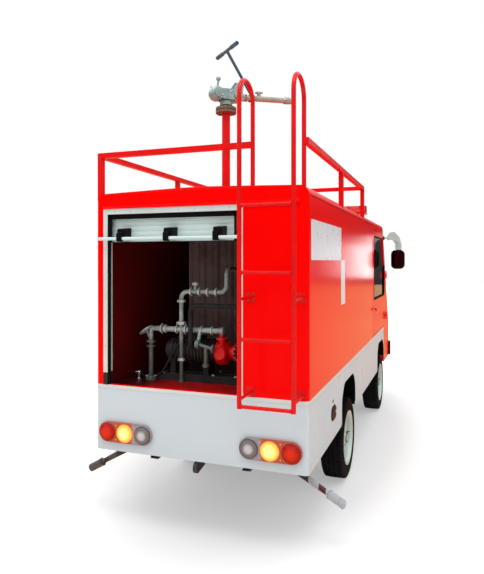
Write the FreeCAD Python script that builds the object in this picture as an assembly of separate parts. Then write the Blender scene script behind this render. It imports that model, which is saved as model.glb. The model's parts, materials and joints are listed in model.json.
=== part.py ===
import FreeCAD, Part
import math
import os
from FreeCAD import Vector

# Narrow battery-electric fire truck: box body with an open pump bay at the
# rear left, ladder at the rear right, guard rail and water monitor on the roof.
#
# Frame: +X forward, +Y to the vehicle's left, +Z up, ground at Z = 0, origin
# under the middle of the overall length. ahead(v) gives the X of a place v
# millimetres ahead of the rear face of the body.

os.makedirs("parts", exist_ok=True)

# ------------------------------------------------------------ driving sizes
# body
BODY_LENGTH = 4900.0
BODY_WIDTH = 1500.0
CAB_LENGTH = 1920.0
SKIRT_Z = 522.0
BELT_Z = 964.0
EAVE_Z = 2275.0
ROOF_RISE = 25.0
ROOF_JOINT = 60.0
WALL = 40.0
FLOOR = 30.0
EDGE_R = 55.0
REAR_R = 28.0
NOSE_R = 160.0
CREASE = 1.0
SCREEN_TOP_BACK = 815.0
SCREEN_FOOT_BACK = 180.0
SCREEN_FOOT_Z = 1215.0
NOSE_TOP_BACK = 15.0
NOSE_TOP_Z = 985.0
PROW_TOP_Z = 720.0
PROW_LOW_Z = 580.0
NOSE_LENGTH = 765.0
SHUT = 6.0
PANEL_GAP = 3.0
TRIM_HEIGHT = 22.0
TRIM_PROUD = 3.0

# wheels and axles
WHEEL_R = 330.0
TYRE_WIDTH = 185.0
RIM_R = 218.0
TYRE_SIDES = 72
FRONT_OVERHANG = 1100.0
REAR_OVERHANG = 1460.0
HUB_R = 60.0
SPINDLE_R = 30.0
SPINDLE_FIT = 0.05
DRUM_R = 118.0
KINGPIN_IN = 157.0
KINGPIN_R = 14.0
ARCH_GAP = 5.0
ARCH_HEIGHT = 175.0
ARCH_R = 110.0
ARCH_FOOT_R = 35.0
ARCH_WALL = 800.0
PANEL = 3.0

# frame
RAIL_Y = 330.0
RAIL_WEB = 7.0
RAIL_WIDTH = 56.0
RAIL_HEIGHT = 120.0
RAIL_TOP = 600.0
BEARER_HEIGHT = 78.0
BEARER_WIDTH = 60.0
BATTERY_LENGTH = 1230.0
BATTERY_HEIGHT = 170.0
AXLE_R = 40.0
SPRING_LENGTH = 960.0
SPRING_PAD = 14.0
SHACKLE = 34.0
LEAF = 9.0
LEAVES = 3
EYE_R = 18.0
EYE_THICK = 24.0
EYE_OUT = 35.0

# doors and windows
HINGE_BACK = 610.0
DOOR_BACK = 100.0
DOOR_SILL = 21.0
DOOR_HEAD = 105.0
PILLAR = 105.0
DOOR_FRAME = 66.0
MIRROR_Z = 2117.0
MIRROR_AHEAD = 160.0
MIRROR_OUT = 152.0
MIRROR_WIDTH = 175.0
MIRROR_TALL = 252.0
SILL_Z = 1385.0
GLASS = 6.0
GLASS_IN = 14.0
SCREEN_SIDE = 110.0
SCREEN_SILL = 85.0
SCREEN_HEAD = 110.0
PIN_R = 5.0
PIN_FIT = 0.05
PIN_OUT = 16.0
HINGE_HEIGHT = 64.0
HINGE_LOW_Z = 1110.0
HINGE_HIGH_Z = 1640.0

# pump bay, shutter and tank
JAMB = 60.0
LADDER_PANEL = 420.0
HEADER = 103.0
GUIDE_WIDTH = 34.0
GUIDE_DEPTH = 62.0
GUIDE_PROUD = 6.0
SLAT = 36.0
SLATS = 5
SLAT_THICK = 12.0
SLOT_FIT = 0.3
CHANNEL_HEIGHT = 37.0
CURTAIN_LOW = 225.0
LIFT_BAR_R = 11.0
LIFT_BAR_OUT = 34.0
BAY_DEPTH = 600.0
TANK_CLEAR = 130.0
TANK_WIDTH = 660.0
TANK_TOP = 115.0

# ladder, rail and roof gear
LADDER_SIDE = 36.0
LADDER_WIDTH = 329.0
LADDER_OUT = 215.0
LADDER_R = 14.0
RUNG_R = 11.0
RUNG_STEP = 393.0
RUNG_FOOT = 12.0
RUNGS = 4
HOOP_RISE = 630.0
HOOP_DEPTH = 243.0
HOOP_BEND = 115.0
RAIL_TUBE = 36.0
RAIL_IN = 21.0
RAIL_RISE = 288.0
RAIL_LENGTH = 2347.0
BAR_WIDTH = 1200.0
BAR_BACK = 1260.0
RISER_AHEAD = 540.0
RISER_R = 30.0
RISER_RISE = 645.0

# nose
BUMPER_PROUD = 22.0
BUMPER_TOP = 178.0

HALF = BODY_WIDTH / 2
ROOF_Z = EAVE_Z + ROOF_RISE
JOINT_Z = EAVE_Z - ROOF_JOINT
FLOOR_TOP = BELT_Z - SHUT
RAIL_LOW = RAIL_TOP - RAIL_HEIGHT
FAR = 2 * BODY_LENGTH
REAR_REACH = LADDER_OUT + LADDER_R
X0 = (BODY_LENGTH + BUMPER_PROUD - REAR_REACH) / 2
WHEEL_Y = HALF - 0.5 - TYRE_WIDTH / 2
KINGPIN_Y = WHEEL_Y - KINGPIN_IN


def ahead(v):
    return v - X0


CAB_X = ahead(BODY_LENGTH - CAB_LENGTH)
NOSE_X = ahead(BODY_LENGTH - NOSE_LENGTH)
FRONT_X = ahead(BODY_LENGTH - FRONT_OVERHANG)
REAR_X = ahead(REAR_OVERHANG)
REAR_FACE = ahead(0)
SCREEN_SLOPE = (SCREEN_TOP_BACK - SCREEN_FOOT_BACK) / (ROOF_Z - SCREEN_FOOT_Z)


# ------------------------------------------------------------------ helpers
def box(x0, x1, y0, y1, z0, z1):
    return Part.makeBox(abs(x1 - x0), abs(y1 - y0), abs(z1 - z0),
                        Vector(min(x0, x1), min(y0, y1), min(z0, z1)))


def rod(a, b, r):
    a, b = Vector(*a), Vector(*b)
    return Part.makeCylinder(r, (b - a).Length, a, b - a)


def tube(a, b, r, bore):
    return rod(a, b, r).cut(rod(a, b, bore))


def mirrored(shape):
    return shape.mirror(Vector(0, 0, 0), Vector(0, 1, 0))


def both(shape):
    return [shape, mirrored(shape)]


def fuse(items):
    items = list(items)
    if len(items) == 1:
        return items[0]
    whole = items[0].multiFuse(items[1:])
    if not whole.isValid():
        whole = items[0]
        for item in items[1:]:
            whole = whole.fuse(item)
    clean = whole.copy().removeSplitter()
    return clean if clean.isValid() else whole


def corner(before, point, after, radius):
    """Tangent points and mid-point of the arc that rounds one corner."""
    u, w = before - point, after - point
    room = 0.49 * min(u.Length, w.Length)
    u.normalize()
    w.normalize()
    angle = u.getAngle(w)
    if radius <= 0 or math.pi - angle < 1e-3:
        return point, point, None
    run = min(radius / math.tan(angle / 2), room)
    radius = run * math.tan(angle / 2)
    bisector = u + w
    bisector.normalize()
    middle = point + bisector * (radius / math.sin(angle / 2) - radius)
    return point + u * run, point + w * run, middle


def rounded(points, radii, closed=True):
    """Wire of straight runs joined by tangent arcs."""
    n = len(points)
    if not isinstance(radii, (list, tuple)):
        radii = [radii] * n
    corners = []
    for i, point in enumerate(points):
        if not closed and i in (0, n - 1):
            corners.append((point, point, None))
        else:
            corners.append(corner(points[i - 1], point, points[(i + 1) % n], radii[i]))
    edges = []
    for i, (start, end, middle) in enumerate(corners):
        if middle:
            edges.append(Part.Arc(start, middle, end).toShape())
        if closed or i < n - 1:
            after = corners[(i + 1) % n][0]
            if after.distanceToPoint(end) > 1e-6:
                edges.append(Part.makeLine(end, after))
    return Part.Wire(edges)


def plate_xz(points, y0, y1, radii=0):
    wire = rounded([Vector(x, y0, z) for x, z in points], radii)
    return Part.Face(wire).extrude(Vector(0, y1 - y0, 0))


def plate_xy(points, z0, z1, radii=0):
    wire = rounded([Vector(x, y, z0) for x, y in points], radii)
    return Part.Face(wire).extrude(Vector(0, 0, z1 - z0))


def plate_yz(points, x0, x1, radii=0):
    wire = rounded([Vector(x0, y, z) for y, z in points], radii)
    return Part.Face(wire).extrude(Vector(x1 - x0, 0, 0))


def slab(y0, y1, z0, z1):
    return [(y0, z0), (y1, z0), (y1, z1), (y0, z1)]


def bent(points, r, bend):
    """Round tube along straight runs with tangent bends."""
    points = [Vector(*p) for p in points]
    path = rounded(points, bend, closed=False)
    section = Part.Wire(Part.makeCircle(r, points[0], points[1] - points[0]))
    return path.makePipeShell([section], True, True)


def turned(profile, centre, axis):
    """Solid of revolution from (along the axis, radius) pairs."""
    axis = Vector(*axis)
    side = Vector(0, 0, 1) if abs(axis.z) < 0.9 else Vector(1, 0, 0)
    side = side - axis * side.dot(axis)
    side.normalize()
    centre = Vector(*centre)
    points = [centre + axis * a + side * r for a, r in profile]
    section = Part.Face(Part.makePolygon(points + points[:1]))
    return section.revolve(centre, axis, 360)


def flat_sided(profile, centre, sides):
    """The same about the Y axis, with flats whose middles lie at each radius."""
    cx, cy, cz = centre
    grow = 1 / math.cos(math.pi / sides)
    rings = []
    for k in range(sides):
        a = 2 * math.pi * (k + 0.5) / sides
        u, w = grow * math.sin(a), grow * math.cos(a)
        rings.append([Vector(cx + r * u, cy + y, cz + r * w) for y, r in profile])
    faces = []
    for k in range(sides):
        one, two = rings[k], rings[(k + 1) % sides]
        for i in range(len(profile)):
            j = (i + 1) % len(profile)
            faces.append(Part.Face(Part.makePolygon([one[i], one[j], two[j], two[i], one[i]])))
    solid = Part.Solid(Part.Shell(faces))
    return solid if solid.Volume > 0 else solid.reversed()


def inset(points, off):
    """Move every side of a convex outline inwards by off."""
    n = len(points)
    mid = (sum(p[0] for p in points) / n, sum(p[1] for p in points) / n)
    sides = []
    for i in range(n):
        (ax, az), (bx, bz) = points[i], points[(i + 1) % n]
        dx, dz = bx - ax, bz - az
        length = math.hypot(dx, dz)
        nx, nz = -dz / length, dx / length
        if (mid[0] - ax) * nx + (mid[1] - az) * nz < 0:
            nx, nz = -nx, -nz
        sides.append((ax + nx * off, az + nz * off, dx, dz))
    moved = []
    for i in range(n):
        x1, z1, a, b = sides[i - 1]
        x2, z2, c, e = sides[i]
        t = ((x2 - x1) * -e + (z2 - z1) * c) / (a * -e + b * c)
        moved.append((x1 + a * t, z1 + b * t))
    return moved


def save(name, shapes):
    if isinstance(shapes, (list, tuple)):
        solids = [s for shape in shapes for s in shape.Solids]
        shape = Part.makeCompound(solids)
    else:
        shape = shapes
    state = "ok" if shape.isValid() else "NOT VALID"
    print("%-18s %2d solids  %s  %.5f m3" % (name, len(shape.Solids), state, shape.Volume / 1e9))
    shape.exportStep("parts/" + name + ".step")


# -------------------------------------------------------------- body's form
def screen_x(z):
    """The windscreen's plane, in the side view."""
    return ahead(BODY_LENGTH - SCREEN_FOOT_BACK) - (z - SCREEN_FOOT_Z) * SCREEN_SLOPE


def hull(off=0.0, low=SKIRT_Z):
    """The body's outer form pulled in by off, running down to low."""
    side = [(REAR_FACE, low - WALL), (REAR_FACE, ROOF_Z), (screen_x(ROOF_Z), ROOF_Z),
            (screen_x(SCREEN_FOOT_Z), SCREEN_FOOT_Z),
            (ahead(BODY_LENGTH - NOSE_TOP_BACK), NOSE_TOP_Z),
            (ahead(BODY_LENGTH), PROW_TOP_Z), (ahead(BODY_LENGTH), PROW_LOW_Z),
            (ahead(BODY_LENGTH - NOSE_TOP_BACK), low - WALL)]
    side = inset(side, off)
    side[0] = (side[0][0], low)
    side[-1] = (side[-1][0], low)
    form = plate_xz(side, -FAR, FAR, [0, REAR_R, NOSE_R, NOSE_R, NOSE_R, NOSE_R, NOSE_R, 0])
    half = HALF - off
    deep, top = low - 2 * WALL, ROOF_Z + EDGE_R
    cross = [(-half, deep), (-half, EAVE_Z - off), (0, ROOF_Z - off), (half, EAVE_Z - off), (half, deep)]
    edge = max(8, EDGE_R - off)
    form = form.common(plate_yz(cross, -FAR, FAR, [0, edge, 3 * BODY_WIDTH, edge, 0]))
    # plan corners: upright at the back and up to the nose's top, then leaning
    # back with the windscreen; a little wide of the sides, so no two faces
    # of the crossing outlines lie in one plane
    back, front, wide = ahead(off) - CREASE, ahead(BODY_LENGTH - off) + CREASE, half + CREASE
    rear = [(back, -wide), (FAR, -wide), (FAR, wide), (back, wide)]
    rear_r = max(2, REAR_R - off / 2)
    form = form.common(plate_xy(rear, deep, top, [rear_r, 0, 0, rear_r]))
    nose = [(-FAR, -wide), (front, -wide), (front, wide), (-FAR, wide)]
    round_r = max(20, NOSE_R - off)
    lower = plate_xy(nose, deep, NOSE_TOP_Z, [0, round_r, round_r, 0])
    wire = rounded([Vector(x, y, NOSE_TOP_Z) for x, y in nose], [0, round_r, round_r, 0])
    upper = Part.Face(wire).extrude(Vector(-SCREEN_SLOPE, 0, 1) * (top - NOSE_TOP_Z))
    return form.common(lower.fuse(upper))


OUTER = hull()
SHELL = OUTER.cut(hull(WALL, SKIRT_Z - WALL))
GLAZING = hull(GLASS_IN, SKIRT_Z - WALL).cut(hull(GLASS_IN + GLASS, SKIRT_Z - 2 * WALL))


def slice_x(x0, x1):
    return box(x0, x1, -FAR, FAR, -FAR, FAR)


def slice_z(z0, z1):
    return box(-FAR, FAR, -FAR, FAR, z0, z1)


def arch(x):
    """Cutter for a pair of wheel arches, with rounded feet."""
    half = WHEEL_R + ARCH_GAP
    top = 2 * WHEEL_R + ARCH_HEIGHT
    knee = top - ARCH_R
    points = [(x - 2 * half, SKIRT_Z), (x - half, SKIRT_Z), (x - half, knee), (x - half + ARCH_R, top),
              (x + half - ARCH_R, top), (x + half, knee), (x + half, SKIRT_Z), (x + 2 * half, SKIRT_Z),
              (x + 2 * half, SKIRT_Z - WALL), (x - 2 * half, SKIRT_Z - WALL)]
    radii = [0, ARCH_FOOT_R, ARCH_R, ARCH_R, ARCH_R, ARCH_R, ARCH_FOOT_R, 0, 0, 0]
    return plate_xz(points, -FAR, FAR, radii)


# ------------------------------------------------------- skirt, box and roof
def make_skirt():
    low = SHELL.common(slice_x(-FAR, NOSE_X)).common(slice_z(0, FLOOR_TOP))
    low = low.cut(arch(REAR_X)).cut(arch(FRONT_X))
    rear = low.common(slice_x(-FAR, ahead(WALL)))
    sides = low.common(slice_x(ahead(WALL + PANEL_GAP), FAR))
    save("skirt_panels", [rear, sides])
    band = hull(-TRIM_PROUD).cut(hull(0, SKIRT_Z - WALL))
    band = band.common(slice_x(-FAR, NOSE_X)).common(slice_z(BELT_Z - TRIM_HEIGHT + SHUT, BELT_Z + SHUT))
    save("belt_trim", band)


BAY_LEFT = HALF - JAMB
BAY_RIGHT = -HALF + LADDER_PANEL
BAY_TOP = EAVE_Z - HEADER


def make_box():
    upper = SHELL.common(slice_x(-FAR, CAB_X)).common(slice_z(FLOOR_TOP, JOINT_Z))
    save("box_sides", upper.common(slice_x(ahead(WALL), CAB_X)))
    frame = upper.common(slice_x(-FAR, ahead(WALL)))
    frame = frame.cut(box(-FAR, FAR, BAY_RIGHT, BAY_LEFT, BELT_Z + SHUT, BAY_TOP))
    lip = plate_xz([(REAR_FACE, BAY_TOP), (REAR_FACE - 14, BAY_TOP), (REAR_FACE - 14, BAY_TOP + 6),
                    (REAR_FACE, BAY_TOP + 20)], -HALF + EDGE_R, HALF - EDGE_R)
    save("rear_frame", frame.fuse(lip).removeSplitter())
    roof = SHELL.common(slice_x(-FAR, CAB_X)).common(slice_z(JOINT_Z, FAR))
    save("box_roof", roof)


def make_floor():
    inner = HALF - WALL
    floor = box(ahead(WALL), ahead(BODY_LENGTH - 300), -inner, inner, FLOOR_TOP - FLOOR, FLOOR_TOP)
    save("floor_panel", floor.common(hull(WALL, SKIRT_Z - WALL)))
    wall = box(CAB_X, CAB_X + FLOOR, -inner, inner, FLOOR_TOP, ROOF_Z)
    save("cab_back_wall", wall.common(hull(WALL, SKIRT_Z - WALL)))


# ------------------------------------------------------------ cab and doors
DOOR_X0 = CAB_X + DOOR_BACK
DOOR_X1 = ahead(BODY_LENGTH - HINGE_BACK)
DOOR_LOW = BELT_Z + DOOR_SILL
DOOR_TOP = EAVE_Z - DOOR_HEAD
PIN_X = DOOR_X1
PIN_Y = HALF + PIN_OUT


def slope_z(x):
    """Height where the windscreen's plane, moved back by the pillar, meets x."""
    return SCREEN_FOOT_Z + (screen_x(SCREEN_FOOT_Z) - PILLAR - x) / SCREEN_SLOPE


DOOR = [(DOOR_X0, DOOR_LOW), (DOOR_X0, DOOR_TOP), (screen_x(DOOR_TOP) - PILLAR, DOOR_TOP),
        (DOOR_X1, slope_z(DOOR_X1)), (DOOR_X1, DOOR_LOW)]
PANE = inset(DOOR, DOOR_FRAME)
PANE = [(PANE[0][0], SILL_Z)] + PANE[1:4] + [(PANE[4][0], SILL_Z)]


def door_cutter(outline, radius, side):
    return plate_xz(outline, side * (HALF - WALL - SHUT), side * FAR, radius)


def screen_cutter():
    low, top = SCREEN_FOOT_Z + SCREEN_SILL, EAVE_Z - SCREEN_HEAD
    half = HALF - SCREEN_SIDE
    wire = rounded([Vector(CAB_X, y, z) for y, z in
                    [(-half, low), (half, low), (half - 25, top), (-half + 25, top)]], 90)
    return Part.Face(wire).extrude(Vector(FAR, 0, 0))


INTAKE = [(-310, 585), (310, 585), (310, 668), (-310, 668)]
LAMP = [(395, 792), (585, 792), (585, 905), (395, 905)]


def lamp_cutter(side, grow=0.0):
    (y0, z0), (y1, _), (_, z1), _ = LAMP
    outline = slab(side * (y0 - grow), side * (y1 + grow), z0 - grow, z1 + grow)
    return plate_yz(outline, CAB_X, FAR, 28 + grow)


def make_cab():
    step = [(CAB_X, FLOOR_TOP), (NOSE_X, FLOOR_TOP), (NOSE_X, 0), (FAR, 0), (FAR, FAR), (CAB_X, FAR)]
    cab = SHELL.common(plate_xz(step, -FAR, FAR))
    cab = cab.cut(arch(FRONT_X)).cut(screen_cutter())
    cab = cab.cut(plate_yz(INTAKE, CAB_X, FAR, 25))
    for side in (1, -1):
        cab = cab.cut(door_cutter(inset(DOOR, -SHUT), 45, side))
        cab = cab.cut(lamp_cutter(side))
        for z in (HINGE_LOW_Z, HINGE_HIGH_Z):
            cab = cab.fuse(hinge_fork(side, z))
    save("cab_shell", cab)
    save("windscreen", GLAZING.common(screen_cutter()))


def hinge_fork(side, z):
    """Two ears on the pillar with the pin that the door's knuckle turns on."""
    reach = HINGE_HEIGHT / 2 + SHUT
    ear = 10.0
    parts = [rod((PIN_X, side * PIN_Y, z - reach - ear), (PIN_X, side * PIN_Y, z + reach + ear), PIN_R)]
    outline = [(PIN_X - 2 * PIN_R, side * (HALF + SHUT)), (PIN_X + 8, side * (HALF + SHUT)),
               (PIN_X + 8, side * (HALF - 4)), (PIN_X + 40, side * (HALF - 4)),
               (PIN_X + 40, side * (HALF + SHUT)), (PIN_X, side * (PIN_Y + 2 * PIN_R)),
               (PIN_X - 2 * PIN_R, side * PIN_Y)]
    for low in (z - reach - ear, z + reach):
        parts.append(plate_xy(outline, low, low + ear))
    return fuse(parts)


def door_knuckle(side, z):
    low, top = z - HINGE_HEIGHT / 2, z + HINGE_HEIGHT / 2
    leaf = box(PIN_X - 62, PIN_X - 2, side * (HALF - 3), side * (HALF + 9), low, top)
    barrel = rod((PIN_X, side * PIN_Y, low), (PIN_X, side * PIN_Y, top), 2 * PIN_R)
    web = box(PIN_X - 12, PIN_X, side * HALF, side * PIN_Y, low, top)
    bore = rod((PIN_X, side * PIN_Y, low - 1), (PIN_X, side * PIN_Y, top + 1), PIN_R + PIN_FIT)
    return fuse([leaf, barrel, web]).cut(bore)


def door_handle(side):
    x, z = DOOR_X0 + 60, SILL_Z - 112
    grip = plate_xz(slab(x, x + 150, z - 15, z + 15), side * (HALF + 18), side * (HALF + 32), 14)
    posts = [rod((x + v, side * (HALF - 2), z), (x + v, side * (HALF + 20), z), 9) for v in (18, 132)]
    return fuse([grip] + posts)


def make_doors():
    for side, name in ((1, "left"), (-1, "right")):
        panel = SHELL.common(door_cutter(DOOR, 40, side)).cut(door_cutter(PANE, 55, side))
        knuckles = [door_knuckle(side, z) for z in (HINGE_LOW_Z, HINGE_HIGH_Z)]
        save("door_" + name, fuse([panel, door_handle(side)] + knuckles))
        save("door_glass_" + name, GLAZING.common(door_cutter(PANE, 55, side)))


def make_nose():
    side, front = HALF + BUMPER_PROUD, ahead(BODY_LENGTH + BUMPER_PROUD)
    round_r = NOSE_R + BUMPER_PROUD
    plan = [(front - round_r, -side), (front, -side), (front, side), (front - round_r, side)]
    band = plate_xy(plan, SKIRT_Z, SKIRT_Z + BUMPER_TOP, [0, round_r, round_r, 0]).cut(OUTER)
    low, top = INTAKE[0][1], INTAKE[2][1]
    band = band.cut(plate_yz([(-325, low - 15), (325, low - 15), (325, top + 40), (-325, top + 40)], CAB_X, FAR, 25))
    frame = hull(0, SKIRT_Z - WALL).cut(hull(WALL * 0.6, SKIRT_Z - 2 * WALL))
    opening = plate_yz(INTAKE, CAB_X, FAR, 25)
    inner = plate_yz(inset(INTAKE, 8), CAB_X, FAR, 17)
    grille = [frame.common(opening.cut(inner))]
    for k in range(3):
        z = low + (k + 1) * (top - low) / 4
        grille.append(frame.common(opening).common(slice_z(z - 5, z + 5)))
    save("front_bumper", [band, fuse(grille)])
    lens = hull(-2, SKIRT_Z - WALL).cut(hull(WALL * 0.8, SKIRT_Z - 2 * WALL))
    save("headlamps", [lens.common(lamp_cutter(side)) for side in (1, -1)])


# ------------------------------------------------------------ frame and axles
def make_frame():
    outer, inner = RAIL_Y + RAIL_WIDTH / 2, RAIL_Y - RAIL_WIDTH / 2
    x0, x1 = ahead(60), ahead(BODY_LENGTH - 120)
    channel = [(inner, RAIL_LOW), (outer, RAIL_LOW), (outer, RAIL_TOP), (inner, RAIL_TOP),
               (inner, RAIL_TOP - RAIL_WEB), (outer - RAIL_WEB, RAIL_TOP - RAIL_WEB),
               (outer - RAIL_WEB, RAIL_LOW + RAIL_WEB), (inner, RAIL_LOW + RAIL_WEB)]
    save("frame_rails", both(plate_yz(channel, x0, x1)))
    # closed cross members between the webs
    reach = outer - RAIL_WEB
    low, top = RAIL_LOW + 20, RAIL_TOP - 20
    width = 70.0
    cross = {"rear": x0 + 15, "axle": REAR_X - 560, "battery_back": BATTERY_X - width,
             "battery_front": BATTERY_X + BATTERY_LENGTH, "steer": FRONT_X + 500, "front": x1 - 80}
    members = {name: box(x, x + width, -reach, reach, low, top) for name, x in cross.items()}
    save("cross_members", list(members.values()))
    # towing eyes: plates under the end cross members, holes across
    eyes = []
    for root, hole in ((x0 + 15, x0 - EYE_OUT), (x1 - 10, x1 + EYE_OUT)):
        z = RAIL_LOW - 5
        inward = 60 if hole < root else -60
        outline = [(root + inward, low), (hole, z + 2 * EYE_R), (hole, z - 2 * EYE_R), (root + inward, low - 40)]
        plate = plate_xz(outline, -EYE_THICK / 2, EYE_THICK / 2)
        plate = plate.fuse(rod((hole, -EYE_THICK / 2, z), (hole, EYE_THICK / 2, z), 2 * EYE_R)).removeSplitter()
        plate = plate.cut(rod((hole, -EYE_THICK, z), (hole, EYE_THICK, z), EYE_R))
        eyes.append(plate.cut(members["rear" if hole < root else "front"]))
    save("tow_eyes", eyes)
    # bearers that carry the floor over the rails
    beams, posts = [], []
    top = FLOOR_TOP - FLOOR
    low = top - BEARER_HEIGHT
    for x in (x0 + 50, REAR_X - 640, BATTERY_X - 40, BATTERY_X + BATTERY_LENGTH / 2,
              BATTERY_X + BATTERY_LENGTH - 20, FRONT_X + 520):
        beams.append(box(x, x + BEARER_WIDTH, -HALF + WALL, HALF - WALL, low, top))
        posts += both(box(x, x + BEARER_WIDTH, inner, outer, RAIL_TOP, low))
    save("floor_bearers", beams)
    save("body_posts", posts)
    # inner walls of the wheel houses, on the rails' outer faces
    panels = [both(box(x - ARCH_WALL / 2, x + ARCH_WALL / 2, outer, outer + PANEL, RAIL_LOW + 25, top))
              for x in (REAR_X, FRONT_X)]
    save("arch_panels", panels[0] + panels[1])
    half = RAIL_Y - RAIL_WIDTH / 2 - 7
    save("battery_pack", box(BATTERY_X, BATTERY_X + BATTERY_LENGTH, -half, half,
                             RAIL_TOP - 10 - BATTERY_HEIGHT, RAIL_TOP - 10))


BATTERY_X = REAR_X + WHEEL_R + 240


def make_axles():
    inner = WHEEL_Y - HUB_R - 32
    axle = [rod((REAR_X, -inner, WHEEL_R), (REAR_X, inner, WHEEL_R), AXLE_R),
            turned([(-120, 0), (-120, 60), (-75, 118), (-20, 132), (20, 132), (75, 118), (120, 60), (120, 0)],
                   (REAR_X, 0, WHEEL_R), (0, 1, 0)),
            turned([(100, 0), (100, 70), (130, 95), (370, 95), (385, 80), (385, 0)],
                   (REAR_X, 0, WHEEL_R), (1, 0, 0))]
    for side in (1, -1):
        axle.append(hub_spigot(REAR_X, side, inner - 20))
    save("rear_axle", fuse(axle))
    # dropped front beam with king pins
    eye, pad = KINGPIN_Y, RAIL_Y - 60
    low, top = WHEEL_R - 45, WHEEL_R + 25
    shape = [(-eye, low), (-pad, low - 25), (pad, low - 25), (eye, low), (eye, top), (-eye, top)]
    beam = [plate_yz(shape, FRONT_X - 30, FRONT_X + 30, [0, 80, 80, 0, 0, 0])]
    for side in (1, -1):
        beam.append(rod((FRONT_X, side * eye, low), (FRONT_X, side * eye, top), 34))
        beam.append(rod((FRONT_X, side * eye, low - 50), (FRONT_X, side * eye, top + 50), KINGPIN_R))
    save("front_axle", fuse(beam))
    for side, name in ((1, "left"), (-1, "right")):
        save("knuckle_" + name, knuckle(side, low, top))


def hub_spigot(x, side, start):
    """Brake back plate and the spindle that a wheel turns on."""
    plate = WHEEL_Y - HUB_R - 30
    return fuse([turned([(0, 0), (0, 105), (12, 125), (22, 125), (22, 0)], (x, side * plate, WHEEL_R), (0, side, 0)),
                 rod((x, side * start, WHEEL_R), (x, side * (WHEEL_Y + 52), WHEEL_R), SPINDLE_R)])


def knuckle(side, low, top):
    bore = KINGPIN_R + PIN_FIT
    web = KINGPIN_Y + 42
    parts = []
    for z0, z1 in ((low - 35, low - SHUT + 1), (top + SHUT - 1, top + 35)):
        outline = [(FRONT_X - 34, side * (KINGPIN_Y - 34)), (FRONT_X + 34, side * (KINGPIN_Y - 34)),
                   (FRONT_X + 34, side * (web + 20)), (FRONT_X - 34, side * (web + 20))]
        parts.append(plate_xy(outline, z0, z1, [33, 33, 0, 0]))
    parts.append(box(FRONT_X - 45, FRONT_X + 45, side * web, side * (web + 22), low - 35, top + 35))
    parts.append(hub_spigot(FRONT_X, side, web + 10))
    arm = [(FRONT_X + 34, side * (KINGPIN_Y + 30)), (FRONT_X - 30, side * (KINGPIN_Y + 62)),
           (FRONT_X - 185, side * (KINGPIN_Y + 5)), (FRONT_X - 185, side * (KINGPIN_Y - 25))]
    parts.append(plate_xy(arm, low - 35, low - 17, [0, 0, 14, 14]))
    pin = rod((FRONT_X, side * KINGPIN_Y, low - 60), (FRONT_X, side * KINGPIN_Y, top + 60), bore)
    return fuse(parts).cut(pin)


def leaf_stack(x, z, rise, y0, y1):
    """Leaves bent about one centre, the longest on top."""
    half = SPRING_LENGTH / 2
    radius = (half ** 2 + rise ** 2) / (2 * rise)
    leaves = []
    for k in range(LEAVES):
        reach = half * (k + 1) / LEAVES
        ring = tube((x, y0, z + radius), (x, y1, z + radius), radius - k * LEAF, radius - (k + 1) * LEAF)
        leaves.append(ring.common(box(x - reach, x + reach, y0, y1, z, z + rise + LEAVES * LEAF)))
    return leaves


def make_springs():
    springs = []
    y0, y1 = RAIL_Y - RAIL_WIDTH / 2 + 3, RAIL_Y + RAIL_WIDTH / 2 - 3
    stack = LEAVES * LEAF
    for x, seat in ((REAR_X, WHEEL_R + AXLE_R), (FRONT_X, WHEEL_R + 25)):
        low = seat + SPRING_PAD
        eye_z = RAIL_LOW - SHACKLE
        rise = eye_z - low - stack + LEAF / 2
        parts = leaf_stack(x, low, rise, y0, y1)
        parts.append(box(x - 55, x + 55, y0, y1, seat, low + LEAF / 2))
        parts.append(box(x - 40, x + 40, y0 + 6, y1 - 6, low, low + stack + 12))
        for end in (x - SPRING_LENGTH / 2, x + SPRING_LENGTH / 2):
            parts.append(rod((end, y0, eye_z), (end, y1, eye_z), 20))
            parts.append(plate_xz([(end - 28, RAIL_LOW), (end + 28, RAIL_LOW), (end + 14, eye_z - 8), (end - 14, eye_z - 8)],
                                  y0, y1))
        springs += both(fuse(parts))
    save("leaf_springs", springs)


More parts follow.
